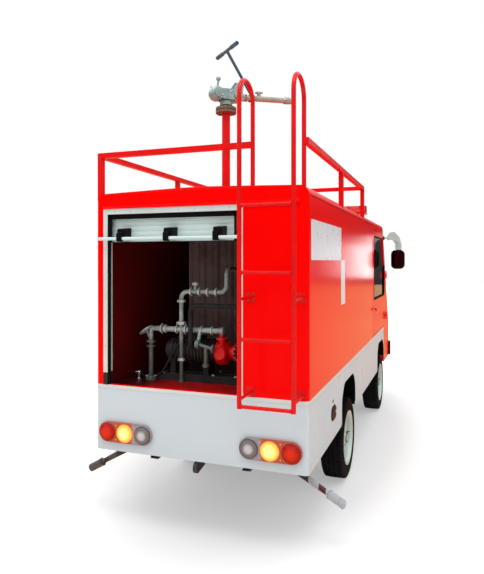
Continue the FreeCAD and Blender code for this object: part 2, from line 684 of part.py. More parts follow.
# ------------------------------------------------------------------- wheels
def make_wheels():
    half = TYRE_WIDTH / 2
    shoulder = 34.0
    bulge = (RIM_R + WHEEL_R) / 2 - 8
    tyre = [(-half + 12, RIM_R), (-half, bulge - 24), (-half, bulge + 16), (-half + 12, WHEEL_R - 14),
            (-half + shoulder, WHEEL_R), (half - shoulder, WHEEL_R), (half - 12, WHEEL_R - 14),
            (half, bulge + 16), (half, bulge - 24), (half - 12, RIM_R)]
    flange = half - 4
    barrel = [(-half + 12, RIM_R), (-flange, RIM_R + 4), (-flange, RIM_R - 14), (-half + 30, RIM_R - 24),
              (half - 30, RIM_R - 24), (flange, RIM_R - 14), (flange, RIM_R + 4), (half - 12, RIM_R)]
    dish = [(8, HUB_R - 5), (8, 105), (34, 150), (26, RIM_R - 24), (40, RIM_R - 22), (48, 152), (22, 100), (22, HUB_R - 5)]
    hub = [(-HUB_R, SPINDLE_R + SPINDLE_FIT), (-HUB_R, DRUM_R), (-8, DRUM_R), (-2, HUB_R), (30, HUB_R), (52, 48),
           (70, 44), (76, 30), (76, 0), (58, 0), (58, SPINDLE_R + SPINDLE_FIT)]
    for tag, x, side in (("fl", FRONT_X, 1), ("fr", FRONT_X, -1), ("rl", REAR_X, 1), ("rr", REAR_X, -1)):
        centre = (x, side * WHEEL_Y, WHEEL_R)
        save("tyre_" + tag, flat_sided(tyre, centre, TYRE_SIDES))
        rim = [turned(p, centre, (0, side, 0)) for p in (barrel, dish, hub)]
        rim = fuse(rim)
        for k in range(8):
            a = 2 * math.pi * k / 8
            hole = (x + 148 * math.cos(a), centre[1], WHEEL_R + 148 * math.sin(a))
            rim = rim.cut(rod((hole[0], centre[1], hole[2]), (hole[0], centre[1] + side * half, hole[2]), 17))
        save("rim_" + tag, rim)


# ---------------------------------------------------------------- roof gear
LADDER_RIGHT = -HALF + LADDER_SIDE
LADDER_LEFT = LADDER_RIGHT + LADDER_WIDTH
HOOP_X = REAR_FACE - LADDER_OUT + HOOP_DEPTH
HOOP_Z = EAVE_Z + HOOP_RISE
FOOT_Z = BELT_Z - 14


def make_ladder():
    x = REAR_FACE - LADDER_OUT
    parts = []
    for y in (LADDER_LEFT, LADDER_RIGHT):
        stile = bent([(x, y, FOOT_Z), (x, y, HOOP_Z), (HOOP_X, y, HOOP_Z), (HOOP_X, y, EAVE_Z - WALL)],
                     LADDER_R, HOOP_BEND)
        parts.append(stile.cut(OUTER))
        plate_y = max(y, -HALF + 50)
        for z in (FOOT_Z + RUNG_FOOT + 40, FOOT_Z + RUNG_FOOT + 1.6 * RUNG_STEP):
            parts.append(rod((x, y, z), (REAR_FACE, y, z), 10))
            parts.append(plate_yz(slab(plate_y - 30, plate_y + 30, z - 30, z + 30), REAR_FACE - 6, REAR_FACE, 8))
    for k in range(RUNGS):
        z = FOOT_Z + RUNG_FOOT + k * RUNG_STEP
        parts.append(rod((x, LADDER_RIGHT, z), (x, LADDER_LEFT, z), RUNG_R))
    ladder = fuse(parts)
    save("ladder", ladder)
    return ladder


def make_guard_rail(ladder):
    q = RAIL_TUBE / 2
    y = HALF - RAIL_IN
    top = EAVE_Z + RAIL_RISE
    x0, x1 = HOOP_X, HOOP_X + RAIL_LENGTH
    parts = []
    for side in (1, -1):
        for x in (x0, (x0 + x1) / 2, x1):
            if side > 0 or x > x0:
                parts.append(box(x - q, x + q, side * (y - q), side * (y + q), EAVE_Z - WALL, top - q))
        parts.append(box(x0 - q, x1 + q, side * (y - q), side * (y + q), top - RAIL_TUBE, top))
    parts.append(box(x0 - q, x0 + q, LADDER_LEFT, y, top - RAIL_TUBE, top))
    parts.append(box(x1 - q, x1 + q, -y, y, top - RAIL_TUBE, top))
    save("guard_rail", fuse(parts).cut(OUTER).cut(ladder))


def make_light_bar():
    x = ahead(BODY_LENGTH - BAR_BACK)
    half = BAR_WIDTH / 2
    low = ROOF_Z + 88
    depth = 80.0
    base = plate_yz(slab(-half, half, low, low + 26), x - depth, x + depth, 10)
    feet = [box(x - 40, x + 40, y - 25, y + 25, EAVE_Z - WALL, low + 4) for y in (-0.7 * half, 0.7 * half)]
    lens = [(x - depth, low + 26), (x + depth, low + 26), (x + depth - 14, low + 106), (x - depth + 14, low + 106)]
    lamp = plate_xz(lens, -half + 6, half - 6, [0, 0, 30, 30])
    save("light_bar", fuse([base, lamp] + feet).cut(OUTER))


# ------------------------------------------------------------ water monitor
MON_X = ahead(RISER_AHEAD)
MON_Z = EAVE_Z + RISER_RISE
SWIVEL_R = 25.0
FLANGE_R = 76.0
FLANGE_LOW = 18.0
FLANGE_TOP = 22.0
AIM = -43.0
BARREL_RISE = 112.0
BARREL_TILT = 4.0
TRUNNION_AHEAD = 72.0
BARREL_REACH = 580.0


def aimed(shape):
    shape = shape.copy()
    shape.rotate(Vector(MON_X, 0, 0), Vector(0, 0, 1), AIM)
    return shape


def make_riser():
    foot = EAVE_Z - WALL
    riser = [rod((MON_X, 0, foot), (MON_X, 0, MON_Z - FLANGE_LOW), RISER_R),
             rod((MON_X, 0, foot), (MON_X, 0, ROOF_Z + 12), 2.6 * RISER_R)]
    save("monitor_riser", fuse(riser).cut(OUTER))
    # bolted flange pair with the spigot that the head turns on
    flange = turned([(-FLANGE_LOW, 0), (-FLANGE_LOW, FLANGE_R), (-2, FLANGE_R), (-2, FLANGE_R - 8), (4, FLANGE_R - 8),
                     (4, FLANGE_R), (FLANGE_TOP, FLANGE_R), (FLANGE_TOP, 42), (34, SWIVEL_R), (58, SWIVEL_R), (58, 0)],
                    (MON_X, 0, MON_Z), (0, 0, 1))
    bolts = []
    for k in range(6):
        a = math.radians(60 * k + 15)
        bx, by = MON_X + 60 * math.cos(a), 60 * math.sin(a)
        bolts.append(rod((bx, by, MON_Z - FLANGE_LOW - 6), (bx, by, MON_Z + FLANGE_TOP + 7), 7))
    save("monitor_flange", fuse([flange] + bolts))


def make_monitor():
    z0 = MON_Z + 34 + SHUT
    axis_z = MON_Z + BARREL_RISE
    tx = MON_X + TRUNNION_AHEAD
    collar = tube((MON_X, 0, z0), (MON_X, 0, z0 + 30), 46, SWIVEL_R + PIN_FIT)
    neck = rod((MON_X, 0, z0 + 28), (MON_X, 0, axis_z), 33)
    gear_case = turned([(-40, 0), (-40, 38), (-30, 50), (30, 50), (40, 38), (40, 0)],
                       (MON_X - 78, 0, axis_z + 6), (0, 1, 0))
    elbow = bent([(MON_X, 0, z0 + 40), (MON_X, 0, axis_z + 4), (MON_X - 90, 0, axis_z + 4)], 30, 34)
    parts = [collar, neck, gear_case, elbow]
    for side in (1, -1):
        outline = [(MON_X - 80, axis_z - 30), (MON_X - 20, axis_z - 36), (tx + 30, axis_z - 34), (tx + 38, axis_z + 10),
                   (tx + 52, axis_z + 118), (tx + 22, axis_z + 126), (tx - 30, axis_z + 44), (MON_X - 80, axis_z + 36)]
        parts.append(plate_xz(outline, side * 40, side * 54, [20, 20, 24, 10, 12, 12, 20, 20]))
        parts.append(rod((tx, side * 40, axis_z), (tx, side * 66, axis_z), 30))
    parts.append(rod((MON_X - 78, -50, axis_z), (MON_X - 78, 50, axis_z), 26))
    knob = [rod((MON_X - 70, 0, axis_z + 40), (MON_X - 63, 0, axis_z + 110), 8),
            Part.makeSphere(17, Vector(MON_X - 62, 0, axis_z + 118))]
    head = fuse(parts + knob)
    head = head.cut(rod((tx, -90, axis_z), (tx, 90, axis_z), 12 + PIN_FIT))
    head = head.cut(rod((MON_X, 0, z0 - 1), (MON_X, 0, z0 + 30), SWIVEL_R + PIN_FIT))
    # room for the trunnion block of the barrel to swing
    head = head.cut(rod((tx, -40 + 0.01, axis_z), (tx, 40 - 0.01, axis_z), 36 + SHUT))
    save("monitor_head", aimed(head))

    def lifted(shape):
        shape = shape.copy()
        shape.rotate(Vector(tx, 0, axis_z), Vector(0, 1, 0), -BARREL_TILT)
        return aimed(shape)
    end = MON_X + BARREL_REACH
    barrel = [rod((tx, -60, axis_z), (tx, 60, axis_z), 12),
              rod((tx, -34, axis_z), (tx, 34, axis_z), 36),
              turned([(0, 0), (0, 27), (70, 27), (84, 21), (end - tx - 88, 21), (end - tx - 80, 26), (end - tx, 23),
                      (end - tx, 16), (end - tx - 20, 14), (end - tx - 20, 0)], (tx, 0, axis_z), (1, 0, 0)),
              rod((tx + 205, 0, axis_z), (tx + 205, 0, axis_z + 44), 15),
              plate_xz(slab(tx + 176, tx + 236, axis_z + 40, axis_z + 52), -11, 11, 5)]
    save("monitor_barrel", lifted(fuse(barrel)))
    grip_z = axis_z + 338
    grip_x = MON_X + 30
    foot_x = tx + 138
    handle = [tube((foot_x - 16, 0, axis_z), (foot_x + 16, 0, axis_z), 30, 21),
              rod((foot_x, 0, axis_z + 27), (grip_x, 0, grip_z), 11),
              rod((grip_x, -172, grip_z), (grip_x, 172, grip_z), 12)]
    save("monitor_handle", lifted(fuse(handle)))


# ------------------------------------------------------- shutter and lamps
def make_shutter():
    out, inn = REAR_FACE - GUIDE_PROUD, REAR_FACE - GUIDE_PROUD + GUIDE_DEPTH
    slot0 = inn - 8 - SLAT_THICK - 2 * SLOT_FIT
    slot1 = inn - 8
    low = BELT_Z + SHUT
    guides = []
    for edge, into in ((BAY_LEFT, -1), (BAY_RIGHT, 1)):
        mouth = edge + into * GUIDE_WIDTH
        back = edge + into * (GUIDE_WIDTH - 22)
        guides.append(plate_xy([(out, edge), (out, mouth), (slot0, mouth), (slot0, back), (slot1, back),
                                (slot1, mouth), (inn, mouth), (inn, edge)], low, BAY_TOP))
    channel = plate_xz([(out, BAY_TOP), (out, BAY_TOP - CHANNEL_HEIGHT), (out + 20, BAY_TOP - CHANNEL_HEIGHT),
                        (out + 20, BAY_TOP - 8), (inn, BAY_TOP - 8), (inn, BAY_TOP)],
                       BAY_RIGHT + GUIDE_WIDTH, BAY_LEFT - GUIDE_WIDTH)
    save("shutter_frame", fuse(guides + [channel]))
    # raised curtain: slats with rolled edges, bottom rail, brackets, lift bar
    x0 = slot0 + SLOT_FIT
    x1 = x0 + SLAT_THICK
    bottom = BAY_TOP - CURTAIN_LOW
    outline = [(x1, bottom), (x0, bottom)]
    for k in range(SLATS):
        z = bottom + k * SLAT
        outline += [(x0, z + 3), (x0 + 3, z + 5), (x0 + 1, z + SLAT / 2), (x0 + 3, z + SLAT - 2)]
    top = bottom + SLATS * SLAT
    outline += [(x0, top), (x1, top)]
    y0, y1 = BAY_RIGHT + GUIDE_WIDTH - 18, BAY_LEFT - GUIDE_WIDTH + 18
    parts = [plate_xz(outline, y0, y1)]
    parts.append(plate_xz([(x1, bottom - 2), (x0 - 8, bottom - 2), (x0 - 8, bottom + 26), (x0, bottom + 34), (x1, bottom + 34)],
                          y0 + 22, y1 - 22))
    bar_x, bar_z = REAR_FACE - LIFT_BAR_OUT, bottom + 20
    bar = rod((bar_x, BAY_RIGHT - 5, bar_z), (bar_x, BAY_LEFT + 15, bar_z), LIFT_BAR_R)
    curtain = fuse(parts)
    save("shutter_curtain", [curtain, bar])
    brackets = []
    middle = (BAY_LEFT + BAY_RIGHT) / 2
    for step in (-1, 0, 1):
        y = middle - 4 + step * 351
        block = plate_xz([(x0, bar_z + 14), (bar_x - 4, bar_z + 14), (bar_x - 4, bar_z + 66), (x0, bar_z + 74)],
                         y - 50, y + 50, [0, 8, 12, 0])
        hook = plate_xz(slab(x0, bar_x - 16, bar_z - 20, bar_z + 40), y, y + 50, [0, 12, 12, 0])
        brackets.append(fuse([block, hook]).cut(bar).cut(curtain))
    save("lift_brackets", brackets)


TAIL_IN = 310.0
TAIL_OUT = 713.0
TAIL_LOW = 586.0
TAIL_TOP = 720.0


def make_lamps():
    shells, lenses = [], []
    z = (TAIL_LOW + TAIL_TOP) / 2
    for side in (1, -1):
        radius = (TAIL_TOP - TAIL_LOW) / 2 - 1
        outline = slab(side * TAIL_IN, side * TAIL_OUT, TAIL_LOW, TAIL_TOP)
        body = plate_yz(outline, REAR_FACE - 22, REAR_FACE, radius)
        step = (TAIL_OUT - TAIL_IN - 2 * radius) / 2
        for k in range(3):
            y = side * (TAIL_IN + radius + k * step)
            cup = rod((REAR_FACE - 40, y, z), (REAR_FACE - 6, y, z), 53)
            body = body.cut(cup)
            lens = turned([(0, 0), (0, 53), (22, 53), (32, 44), (37, 26), (39, 0)], (REAR_FACE - 6, y, z), (-1, 0, 0))
            lenses.append(lens)
        shells.append(body)
    save("tail_lamp_bodies", shells)
    save("tail_lenses", lenses)
    # marker lamps on rubber stalks, splayed out under the rear corners
    markers = []
    for side in (1, -1):
        root = Vector(REAR_FACE + 200, side * 600, RAIL_LOW + 6)
        tip = Vector(REAR_FACE + 200, side * 937, 292)
        along = tip - root
        length = along.Length
        along.normalize()
        stalk = turned([(0, 0), (0, 26), (40, 22), (length - 128, 17), (length - 122, 30), (length - 100, 28),
                        (length - 52, 28), (length - 48, 24), (length - 40, 28), (length - 6, 28), (length, 18),
                        (length, 0)], tuple(root), tuple(along))
        outer = RAIL_Y + RAIL_WIDTH / 2
        bracket = [box(root.x - 22, root.x + 22, side * outer, side * 625, RAIL_LOW + 8, RAIL_LOW + 20),
                   box(root.x - 22, root.x + 22, side * 575, side * 625, RAIL_LOW - 15, RAIL_LOW + 20)]
        markers.append(fuse([stalk] + bracket))
    save("marker_lamps", markers)
    lid = slab(ahead(695), ahead(850), 665, 757)
    save("charge_lid", plate_xz(lid, -HALF, -HALF - 8, 45))


# ------------------------------------------------------------------ pump bay
def make_pump_bay():
    z0 = FLOOR_TOP
    tank_x = ahead(BAY_DEPTH)
    top = JOINT_Z - TANK_TOP
    tank_front = CAB_X - TANK_CLEAR
    half = TANK_WIDTH / 2
    ribs = [(tank_x, -half)]
    pitch = TANK_WIDTH / 6
    for k in range(6):
        y = -half + k * pitch
        ribs += [(tank_x, y + 0.15 * pitch), (tank_x + 14, y + 0.3 * pitch), (tank_x + 14, y + 0.7 * pitch),
                 (tank_x, y + 0.85 * pitch)]
    ribs += [(tank_x, half), (tank_front, half), (tank_front, -half)]
    tank = plate_xy(ribs, z0, top)
    save("water_tank", tank)
    # base frame, finned motor and volute on one shaft line
    px, pz = ahead(410), 1170.0
    rails = [box(px + v - 20, px + v + 20, -180, 440, z0, z0 + 50) for v in (-70, 70)]
    ties = [box(px - 90, px + 90, v, v + 40, z0, z0 + 50) for v in (-180, 400)]
    feet = [box(px - 60, px + 60, v, v + 40, z0 + 40, pz - 40) for v in (60, 320)]
    fins = [(20, 0), (20, 78)]
    for k in range(12):
        y = 46 + k * 26
        fins += [(y, 78), (y, 90), (y + 12, 90), (y + 12, 78)]
    fins += [(384, 78), (384, 60), (400, 60), (400, 0)]
    terminals = box(px - 50, px + 50, 120, 300, pz + 60, pz + 112)
    motor = fuse([turned(fins, (px, 0, pz), (0, 1, 0)), terminals] + rails + ties + feet)
    save("pump_motor", motor)
    volute = turned([(-92, 0), (-92, 40), (-80, 66), (-64, 88), (-24, 96), (4, 86), (20, 60), (20, 0)],
                    (px, 0, pz), (0, 1, 0))
    outlet = [bent([(px - 60, -44, pz), (px - 60, -44, MANIFOLD_Z), (PIPE_X + 17, -44, MANIFOLD_Z)], 22, 34),
              flange(px - 60, -44, 1272, (0, 0, 1), 40, 14),
              rod((px, -92, pz), (px, -130, pz), 40), rod((px, -118, pz), (px, -132, pz), 62),
              turned([(0, 0), (0, 46), (16, 50), (34, 40), (38, 0)], (px - 78, -44, pz), (-1, 0, 0))]
    pipes = pipework(z0)
    save("pipework", pipes)
    save("pump_volute", fuse([volute] + outlet).cut(pipes).cut(motor))
    over_x = PIPE_X - 50
    over = bent([(tank_x, -285, 1507), (over_x, -285, 1507), (over_x, 152, 1507), (over_x, 152, 1217),
                 (px, 152, 1217)], 17, 48)
    save("transfer_pipe", over.cut(motor))


PIPE_X = ahead(300)
MANIFOLD_Z = 1331.0


def flange(x, y, z, axis, r, thick):
    a = Vector(*axis) * (thick / 2)
    p = Vector(x, y, z)
    return rod(tuple(p - a), tuple(p + a), r)


def pipework(z0):
    """Delivery manifold, riser to the tank, drain, gate valve and test branch."""
    x, z = PIPE_X, MANIFOLD_Z
    parts = [rod((x, 446, z), (x, -80, z), 19)]
    for y, r in ((400, 30), (372, 25), (282, 25), (210, 30), (90, 25), (10, 25), (-72, 27)):
        parts.append(flange(x, y, z, (0, 1, 0), r, 12))
    parts.append(bent([(x, 246, z), (x, 246, 1600), (x, -100, 1600), (x, -100, 1760),
                       (ahead(BAY_DEPTH), -100, 1760)], 16, 48))
    parts += [flange(x, 246, z + 46, (0, 0, 1), 28, 24), flange(x, 246, 1530, (0, 0, 1), 24, 16)]
    for y in (170, 106, 42, -22):
        parts.append(flange(x, y, 1600, (0, 1, 0), 24, 18))
    parts += [rod((x, 138, 1600), (x, 138, 1652), 10), flange(x, 138, 1656, (0, 0, 1), 17, 24)]
    parts += [rod((x, 246, z), (x, 246, z0), 14), flange(x, 246, z0 + 8, (0, 0, 1), 19, 16),
              flange(x, 246, 1120, (0, 0, 1), 19, 30)]
    # gate valve on the pipe that drops to the floor, handwheel leaning out
    vy, vz = 490, 1262
    lean = Vector(0, 46, 64)
    lean.normalize()
    hub = Vector(x, vy, vz) + lean * 66
    parts += [bent([(x, 440, z), (x, vy, z), (x, vy, z0)], 17, 40), flange(x, vy, z0 + 9, (0, 0, 1), 40, 18),
              flange(x, vy, vz - 26, (0, 0, 1), 32, 12), flange(x, vy, vz - 60, (0, 0, 1), 32, 12),
              rod((x, vy, vz - 20), tuple(hub), 9), rod(tuple(hub - lean * 8), tuple(hub + lean * 8), 14),
              Part.makeTorus(50, 7, hub, lean)]
    spoke = lean.cross(Vector(1, 0, 0))
    for toward in (Vector(1, 0, 0), Vector(-1, 0, 0), spoke, spoke * -1):
        parts.append(rod(tuple(hub + toward * 6), tuple(hub + toward * 48), 5))
    # test branch: coupling ahead of the manifold, slanting pipe, drain cock
    bx, by = x - 38, 100
    parts += [rod((x, by, z), (bx, by, z - 95), 13), flange(bx, by, z - 95, (0, 1, 0), 32, 26),
              rod((bx, by, z - 95), (bx, -14, z - 122), 13), flange(bx, -14, z - 122, (0, 1, 0), 30, 14),
              rod((bx, 40, z - 109), (bx, 40, z - 236), 13), flange(bx, 40, z - 238, (0, 0, 1), 24, 20)]
    return fuse(parts)


# ------------------------------------------------------------------ cab gear
def make_cab_gear():
    seats = []
    x0 = CAB_X + FLOOR
    for side in (1, -1):
        y0, y1 = side * 120, side * 620
        box_top = 1240.0
        base = plate_xz([(x0 + 130, FLOOR_TOP), (x0 + 130, box_top), (x0 + 620, box_top), (x0 + 590, FLOOR_TOP)],
                        y0, y1)
        cushion = plate_xz([(x0 + 110, box_top), (x0 + 120, 1330), (x0 + 640, 1365), (x0 + 665, 1310), (x0 + 640, box_top)],
                           y0, y1, [10, 30, 45, 30, 15])
        back = plate_xz([(x0 + 60, 1290), (x0 + 10, 1860), (x0 + 95, 1875), (x0 + 210, 1320)], y0, y1, [30, 35, 40, 40])
        rest = plate_xz([(x0 + 25, 1850), (x0 + 15, 2020), (x0 + 85, 2030), (x0 + 100, 1850)], side * 250, side * 490, 28)
        seats.append(fuse([base, cushion, back, rest]))
    save("seats", seats)
    dash = [(screen_x(1290) - 95, 1290), (screen_x(1290) - 330, 1300), (screen_x(1290) - 395, 1240),
            (screen_x(1290) - 360, 1080), (screen_x(1290) - 250, FLOOR_TOP), (screen_x(1290) - 60, FLOOR_TOP)]
    inner = HALF - WALL - 8
    panel = plate_xz(dash, -inner, inner, [20, 40, 40, 60, 0, 0]).common(hull(WALL, SKIRT_Z - WALL))
    wheel_y = 370.0
    low = Vector(screen_x(1290) - 200, wheel_y, 1150)
    hub = Vector(CAB_X + 1130, wheel_y, 1470)
    axis = hub - low
    axis.normalize()
    column = [Part.makeCylinder(24, (hub - low).Length, low, axis),
              Part.makeCylinder(42, (hub - low).Length - 90, low, axis),
              Part.makeCylinder(10, 24, hub, axis)]
    column = fuse(column)
    hood = plate_xz([(screen_x(1290) - 390, 1255), (screen_x(1290) - 370, 1345), (screen_x(1290) - 250, 1335),
                     (screen_x(1290) - 230, 1290)], wheel_y - 170, wheel_y + 170, [10, 40, 30, 0])
    save("dashboard", fuse([panel, hood, column]))
    ring_at = hub + axis * 46
    wheel = [Part.makeTorus(188, 13, ring_at, axis), Part.makeCylinder(40, 24, hub + axis * 28, axis),
             Part.makeCylinder(30, 24, hub + axis * 6, axis)]
    side = Vector(0, 1, 0)
    down = axis.cross(side)
    for toward in (side, side * -1, down):
        wheel.append(rod(tuple(hub + axis * 36), tuple(ring_at + toward * 182), 9))
    bore = Part.makeCylinder(10 + PIN_FIT, 26, hub + axis * 4, axis)
    save("steering_wheel", fuse(wheel).cut(bore))


def make_mirrors():
    """Each head hangs ahead of its door's hinge line, clear of the swing."""
    arms = []
    foot_x, z = screen_x(MIRROR_Z) - 55, MIRROR_Z
    x = PIN_X + MIRROR_AHEAD
    y = HALF + MIRROR_OUT
    bracket = [(10, -17), (10, 33), (50, 88), (110, 95), (175, 23), (200, -77), (200, -152), (130, -152),
               (120, -67), (80, -7)]
    half = MIRROR_WIDTH / 2
    head_top = z - 147
    for side in (1, -1):
        pad = box(foot_x - 27, foot_x + 27, side * (HALF - 110), side * (HALF + 10), z - 22, z + 23)
        arm = bent([(foot_x, side * (HALF - 20), z), (foot_x + 12, side * (HALF + 74), z + 5),
                    (x, side * y, z - 32), (x, side * y, head_top - 60)], 11, 28)
        plate = plate_yz([(side * (HALF + v), z + w) for v, w in bracket], x - 12, x + 6, 16)
        head = plate_yz(slab(side * (y - half), side * (y + half), head_top - MIRROR_TALL, head_top), x - 8, x + 42, 60)
        arms.append(fuse([pad, arm, plate, head]).cut(OUTER))
    save("mirrors", arms)


make_skirt()
make_box()
make_floor()
make_cab()
make_doors()
make_nose()
make_frame()
make_axles()
make_springs()
make_wheels()
make_guard_rail(make_ladder())
make_light_bar()
make_riser()
make_monitor()
make_shutter()
make_lamps()
make_pump_bay()
make_cab_gear()
make_mirrors()
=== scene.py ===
"""Looks of the small electric fire truck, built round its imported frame. Metres, same axes as the frame."""

import json
import math

import bmesh
import bpy
from mathutils import Matrix, Vector


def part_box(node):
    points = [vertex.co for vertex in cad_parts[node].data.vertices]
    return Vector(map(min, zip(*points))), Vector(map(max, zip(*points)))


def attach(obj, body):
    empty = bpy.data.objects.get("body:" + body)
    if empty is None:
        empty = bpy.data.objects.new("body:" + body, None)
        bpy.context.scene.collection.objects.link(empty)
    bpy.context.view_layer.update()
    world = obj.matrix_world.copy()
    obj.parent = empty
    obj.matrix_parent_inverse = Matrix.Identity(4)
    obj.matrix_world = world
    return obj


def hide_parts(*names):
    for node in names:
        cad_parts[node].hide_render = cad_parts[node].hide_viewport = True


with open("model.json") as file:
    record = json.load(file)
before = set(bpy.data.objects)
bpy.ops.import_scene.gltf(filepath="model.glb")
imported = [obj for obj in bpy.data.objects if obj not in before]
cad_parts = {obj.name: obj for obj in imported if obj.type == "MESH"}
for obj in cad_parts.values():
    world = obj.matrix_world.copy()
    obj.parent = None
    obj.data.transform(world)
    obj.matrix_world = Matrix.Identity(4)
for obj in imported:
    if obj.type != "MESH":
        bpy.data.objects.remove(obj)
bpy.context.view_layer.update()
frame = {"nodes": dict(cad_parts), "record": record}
NODES = frame["nodes"]
SLOTS = {s["node"]: s["material_slot"] for s in frame["record"]["subparts"]}
AHEAD, LEFT, UP = Vector((1, 0, 0)), Vector((0, 1, 0)), Vector((0, 0, 1))
BEHIND, RIGHT, DOWN = -AHEAD, -LEFT, -UP
LOOK = {}                                 # the finished materials, most of them under their slot's name
OWN_LOOKS = {"marker_lamps": "marker", "box_sides": "red_sides", "tail_lamp_bodies": "lamp_mix",
             "guard_rail": "red_rail", "charge_lid": "plastic_black"}

# ------------------------------------------------------- places, from the frame
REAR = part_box("box_roof")[0].x            # outer face of the rear
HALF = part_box("box_sides")[1].y           # half the body's width
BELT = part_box("skirt_panels")[1].z        # top of the white skirt
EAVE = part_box("box_sides")[1].z
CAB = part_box("cab_shell")[0].x
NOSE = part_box("cab_shell")[1].x
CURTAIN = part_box("shutter_curtain")
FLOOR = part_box("floor_panel")[1].z
WHEEL_TAGS = ("fl", "fr", "rl", "rr")
WHEELS = {tag: (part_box("tyre_" + tag)[0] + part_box("tyre_" + tag)[1]) / 2 for tag in WHEEL_TAGS}

# sizes that the frame's boxes don't give
LENS_Y = (0.376, 0.5115, 0.647)           # clear, amber and red lens centres
LENS_Z = 0.653
LENS_R = 0.0605
MARKER_ROOT, MARKER_TIP = 0.600, 0.946    # how far out the marker stalks start and end
MIRROR_TOP = 1.970                        # top of the mirror heads, under their pale brackets
RIM_R = 0.218
TREAD_DEPTH = 0.007
SKY_TOP = 1.30                            # brightness of the sky overhead
# painted reflection: the floor takes this warm colour only in reflections, to paint a warm reflection into
# the gloss paint
FLOOR_MIRRORED = (0.82, 0.40, 0.18)       # the floor as gloss paint shows it
STILES = (-0.714, -0.385)                 # the ladder's stiles
HINGE_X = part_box("door_left")[1].x - 0.010
SCREEN_FOOT = (2.3735, 1.215)             # x and z at the windscreen's foot
SCREEN_SLOPE = 0.59906
SCREEN_OUT = Vector((1, 0, SCREEN_SLOPE)).normalized()
SCREEN_UP = Vector((-SCREEN_SLOPE, 0, 1)).normalized()
RISER = (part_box("monitor_riser")[0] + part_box("monitor_riser")[1]) / 2
MANIFOLD_Z = 1.331
FLANGE_Z = 2.920
MONITOR_Z = 3.032
MONITOR_AIM, MONITOR_TILT = -43.0, 4.0
TRUNNION, BARREL_END = 0.072, 0.580       # ahead of the riser, along the monitor's own line
GRIP = (0.030, MONITOR_Z + 0.338)
SEAL_TOP, SEAL_WIDE = 2.134, 0.026        # the rubber above and beside the shutter's slats
BAR_R = 0.0113                            # the lift bar, with the play of its hooks
HOOK_WIDE, HOOK_PITCH = 0.066, 0.351
PUMP_Z = 1.170                            # height of the pump's shaft
DROP_Y = 0.490                            # where the pipe drops to the floor
RUNG_PITCH = 0.393
HEADLAMP_Z = 0.8485
WHEEL_HUB, COLUMN = Vector((1.7635, 0.370, 1.470)), Vector((-0.752, 0, 0.659))   # steering wheel, its axis
BELT_X, WEBBING = 0.706, 0.0008           # where the seat belts hang, and half their thickness
CARD_FACE = 0.704                         # inner face of the door cards
CLOTH_FRAMES, CLOTH_PRESSURE, CLOTH_REACH = 20, 4.0, 0.012   # how the cushions are blown up
ARCH_HALF, ARCH_SHOULDER, ARCH_TOP = 0.335, 0.725, 0.835
LINER_LIFTS, LINER_Y = (0.0012, 0.0040), (0.362, 0.744)   # below the arch, and out from the middle
EYE, EYE_TURN = (-5.6465, -1.537, 1.81), -69.81           # the camera
EYE_LENS, EYE_SHIFT = 35.216, -0.0436


def back(d):
    """X of a place d metres ahead of the rear face."""
    return REAR + d


PIPE_X, PUMP_X = back(0.300), back(0.410)


# ------------------------------------------------------------------ mesh code
def axes_of(direction):
    """Two directions across one, and the direction itself."""
    w = Vector(direction).normalized()
    u = UP if abs(w.z) < 0.9 else AHEAD
    u = (u - w * u.dot(w)).normalized()
    return u, w.cross(u), w


def block(bm, low, high):
    """A box between two corners."""
    low, high = Vector(low), Vector(high)
    made = bmesh.ops.create_cube(bm, size=1.0)["verts"]
    size = high - low
    for v in made:
        v.co = (low + high) / 2 + Vector(c * s for c, s in zip(v.co, size))
    return made


def circle(count, radius=1.0, turn=0.0):
    """(across, up) places spaced evenly round a circle, turned on by a share of one step."""
    angles = [2 * math.pi * (k + turn) / count for k in range(count)]
    return [(radius * math.cos(a), radius * math.sin(a)) for a in angles]


def skin(bm, one, two):
    """Faces between two closed rings with as many points."""
    count = len(one)
    for k in range(count):
        bm.faces.new((one[k], one[(k + 1) % count], two[(k + 1) % count], two[k]))


def lathe(bm, profile, centre, axis, steps=32):
    """A round form from (along, radius) pairs, closed at points on its axis."""
    u, v, w = axes_of(axis)
    rings = []
    for along, radius in profile:
        spot = Vector(centre) + w * along
        places = circle(steps) if radius > 1e-6 else [(0, 0)]
        rings.append([bm.verts.new(spot + (u * a + v * b) * radius) for a, b in places])
    for one, two in zip(rings, rings[1:]):
        for k in range(steps):
            a, b = one[k % len(one)], one[(k + 1) % len(one)]
            c, d = two[(k + 1) % len(two)], two[k % len(two)]
            corners = list(dict.fromkeys((a, b, c, d)))
            if len(corners) > 2:
                bm.faces.new(corners)


def hexagon(bm, centre, axis, across, thick, washer=0.0):
    """A hexagon nut or bolt head with a chamfered top, on a washer where one is named."""
    r = across / math.sqrt(3)
    lathe(bm, [(0, 0), (0, r), (thick * 0.8, r), (thick, r * 0.86), (thick, 0)], centre, axis, 6)
    if washer:
        lathe(bm, [(0, 0), (0, washer), (thick * 0.18, washer), (thick * 0.18, 0)], centre, axis, 16)


def dome(bm, centre, axis, radius, high, steps=12):
    """A low round head, such as a rivet or lamp."""
    slope = [(high * math.sin(a), radius * math.cos(a)) for a in (k * math.pi / 6 for k in (1, 2, 3))]
    lathe(bm, [(0, radius)] + slope + [(high, 0)], centre, axis, steps)


def arc(start, corner, end, steps):
    """Points of a soft corner from one place to another."""
    return [start * (1 - t) ** 2 + corner * 2 * t * (1 - t) + end * t ** 2
            for t in (k / steps for k in range(steps + 1))]


def smooth_path(points, bend, steps=6):
    """The points of straight runs whose corners are turned into arcs."""
    points = [Vector(p) for p in points]
    path = [points[0]]
    for before, point, after in zip(points, points[1:], points[2:]):
        u, w = (before - point), (after - point)
        run = min(bend, u.length / 2, w.length / 2)
        path += arc(point + u.normalized() * run, point, point + w.normalized() * run, steps)
    return path + [points[-1]]


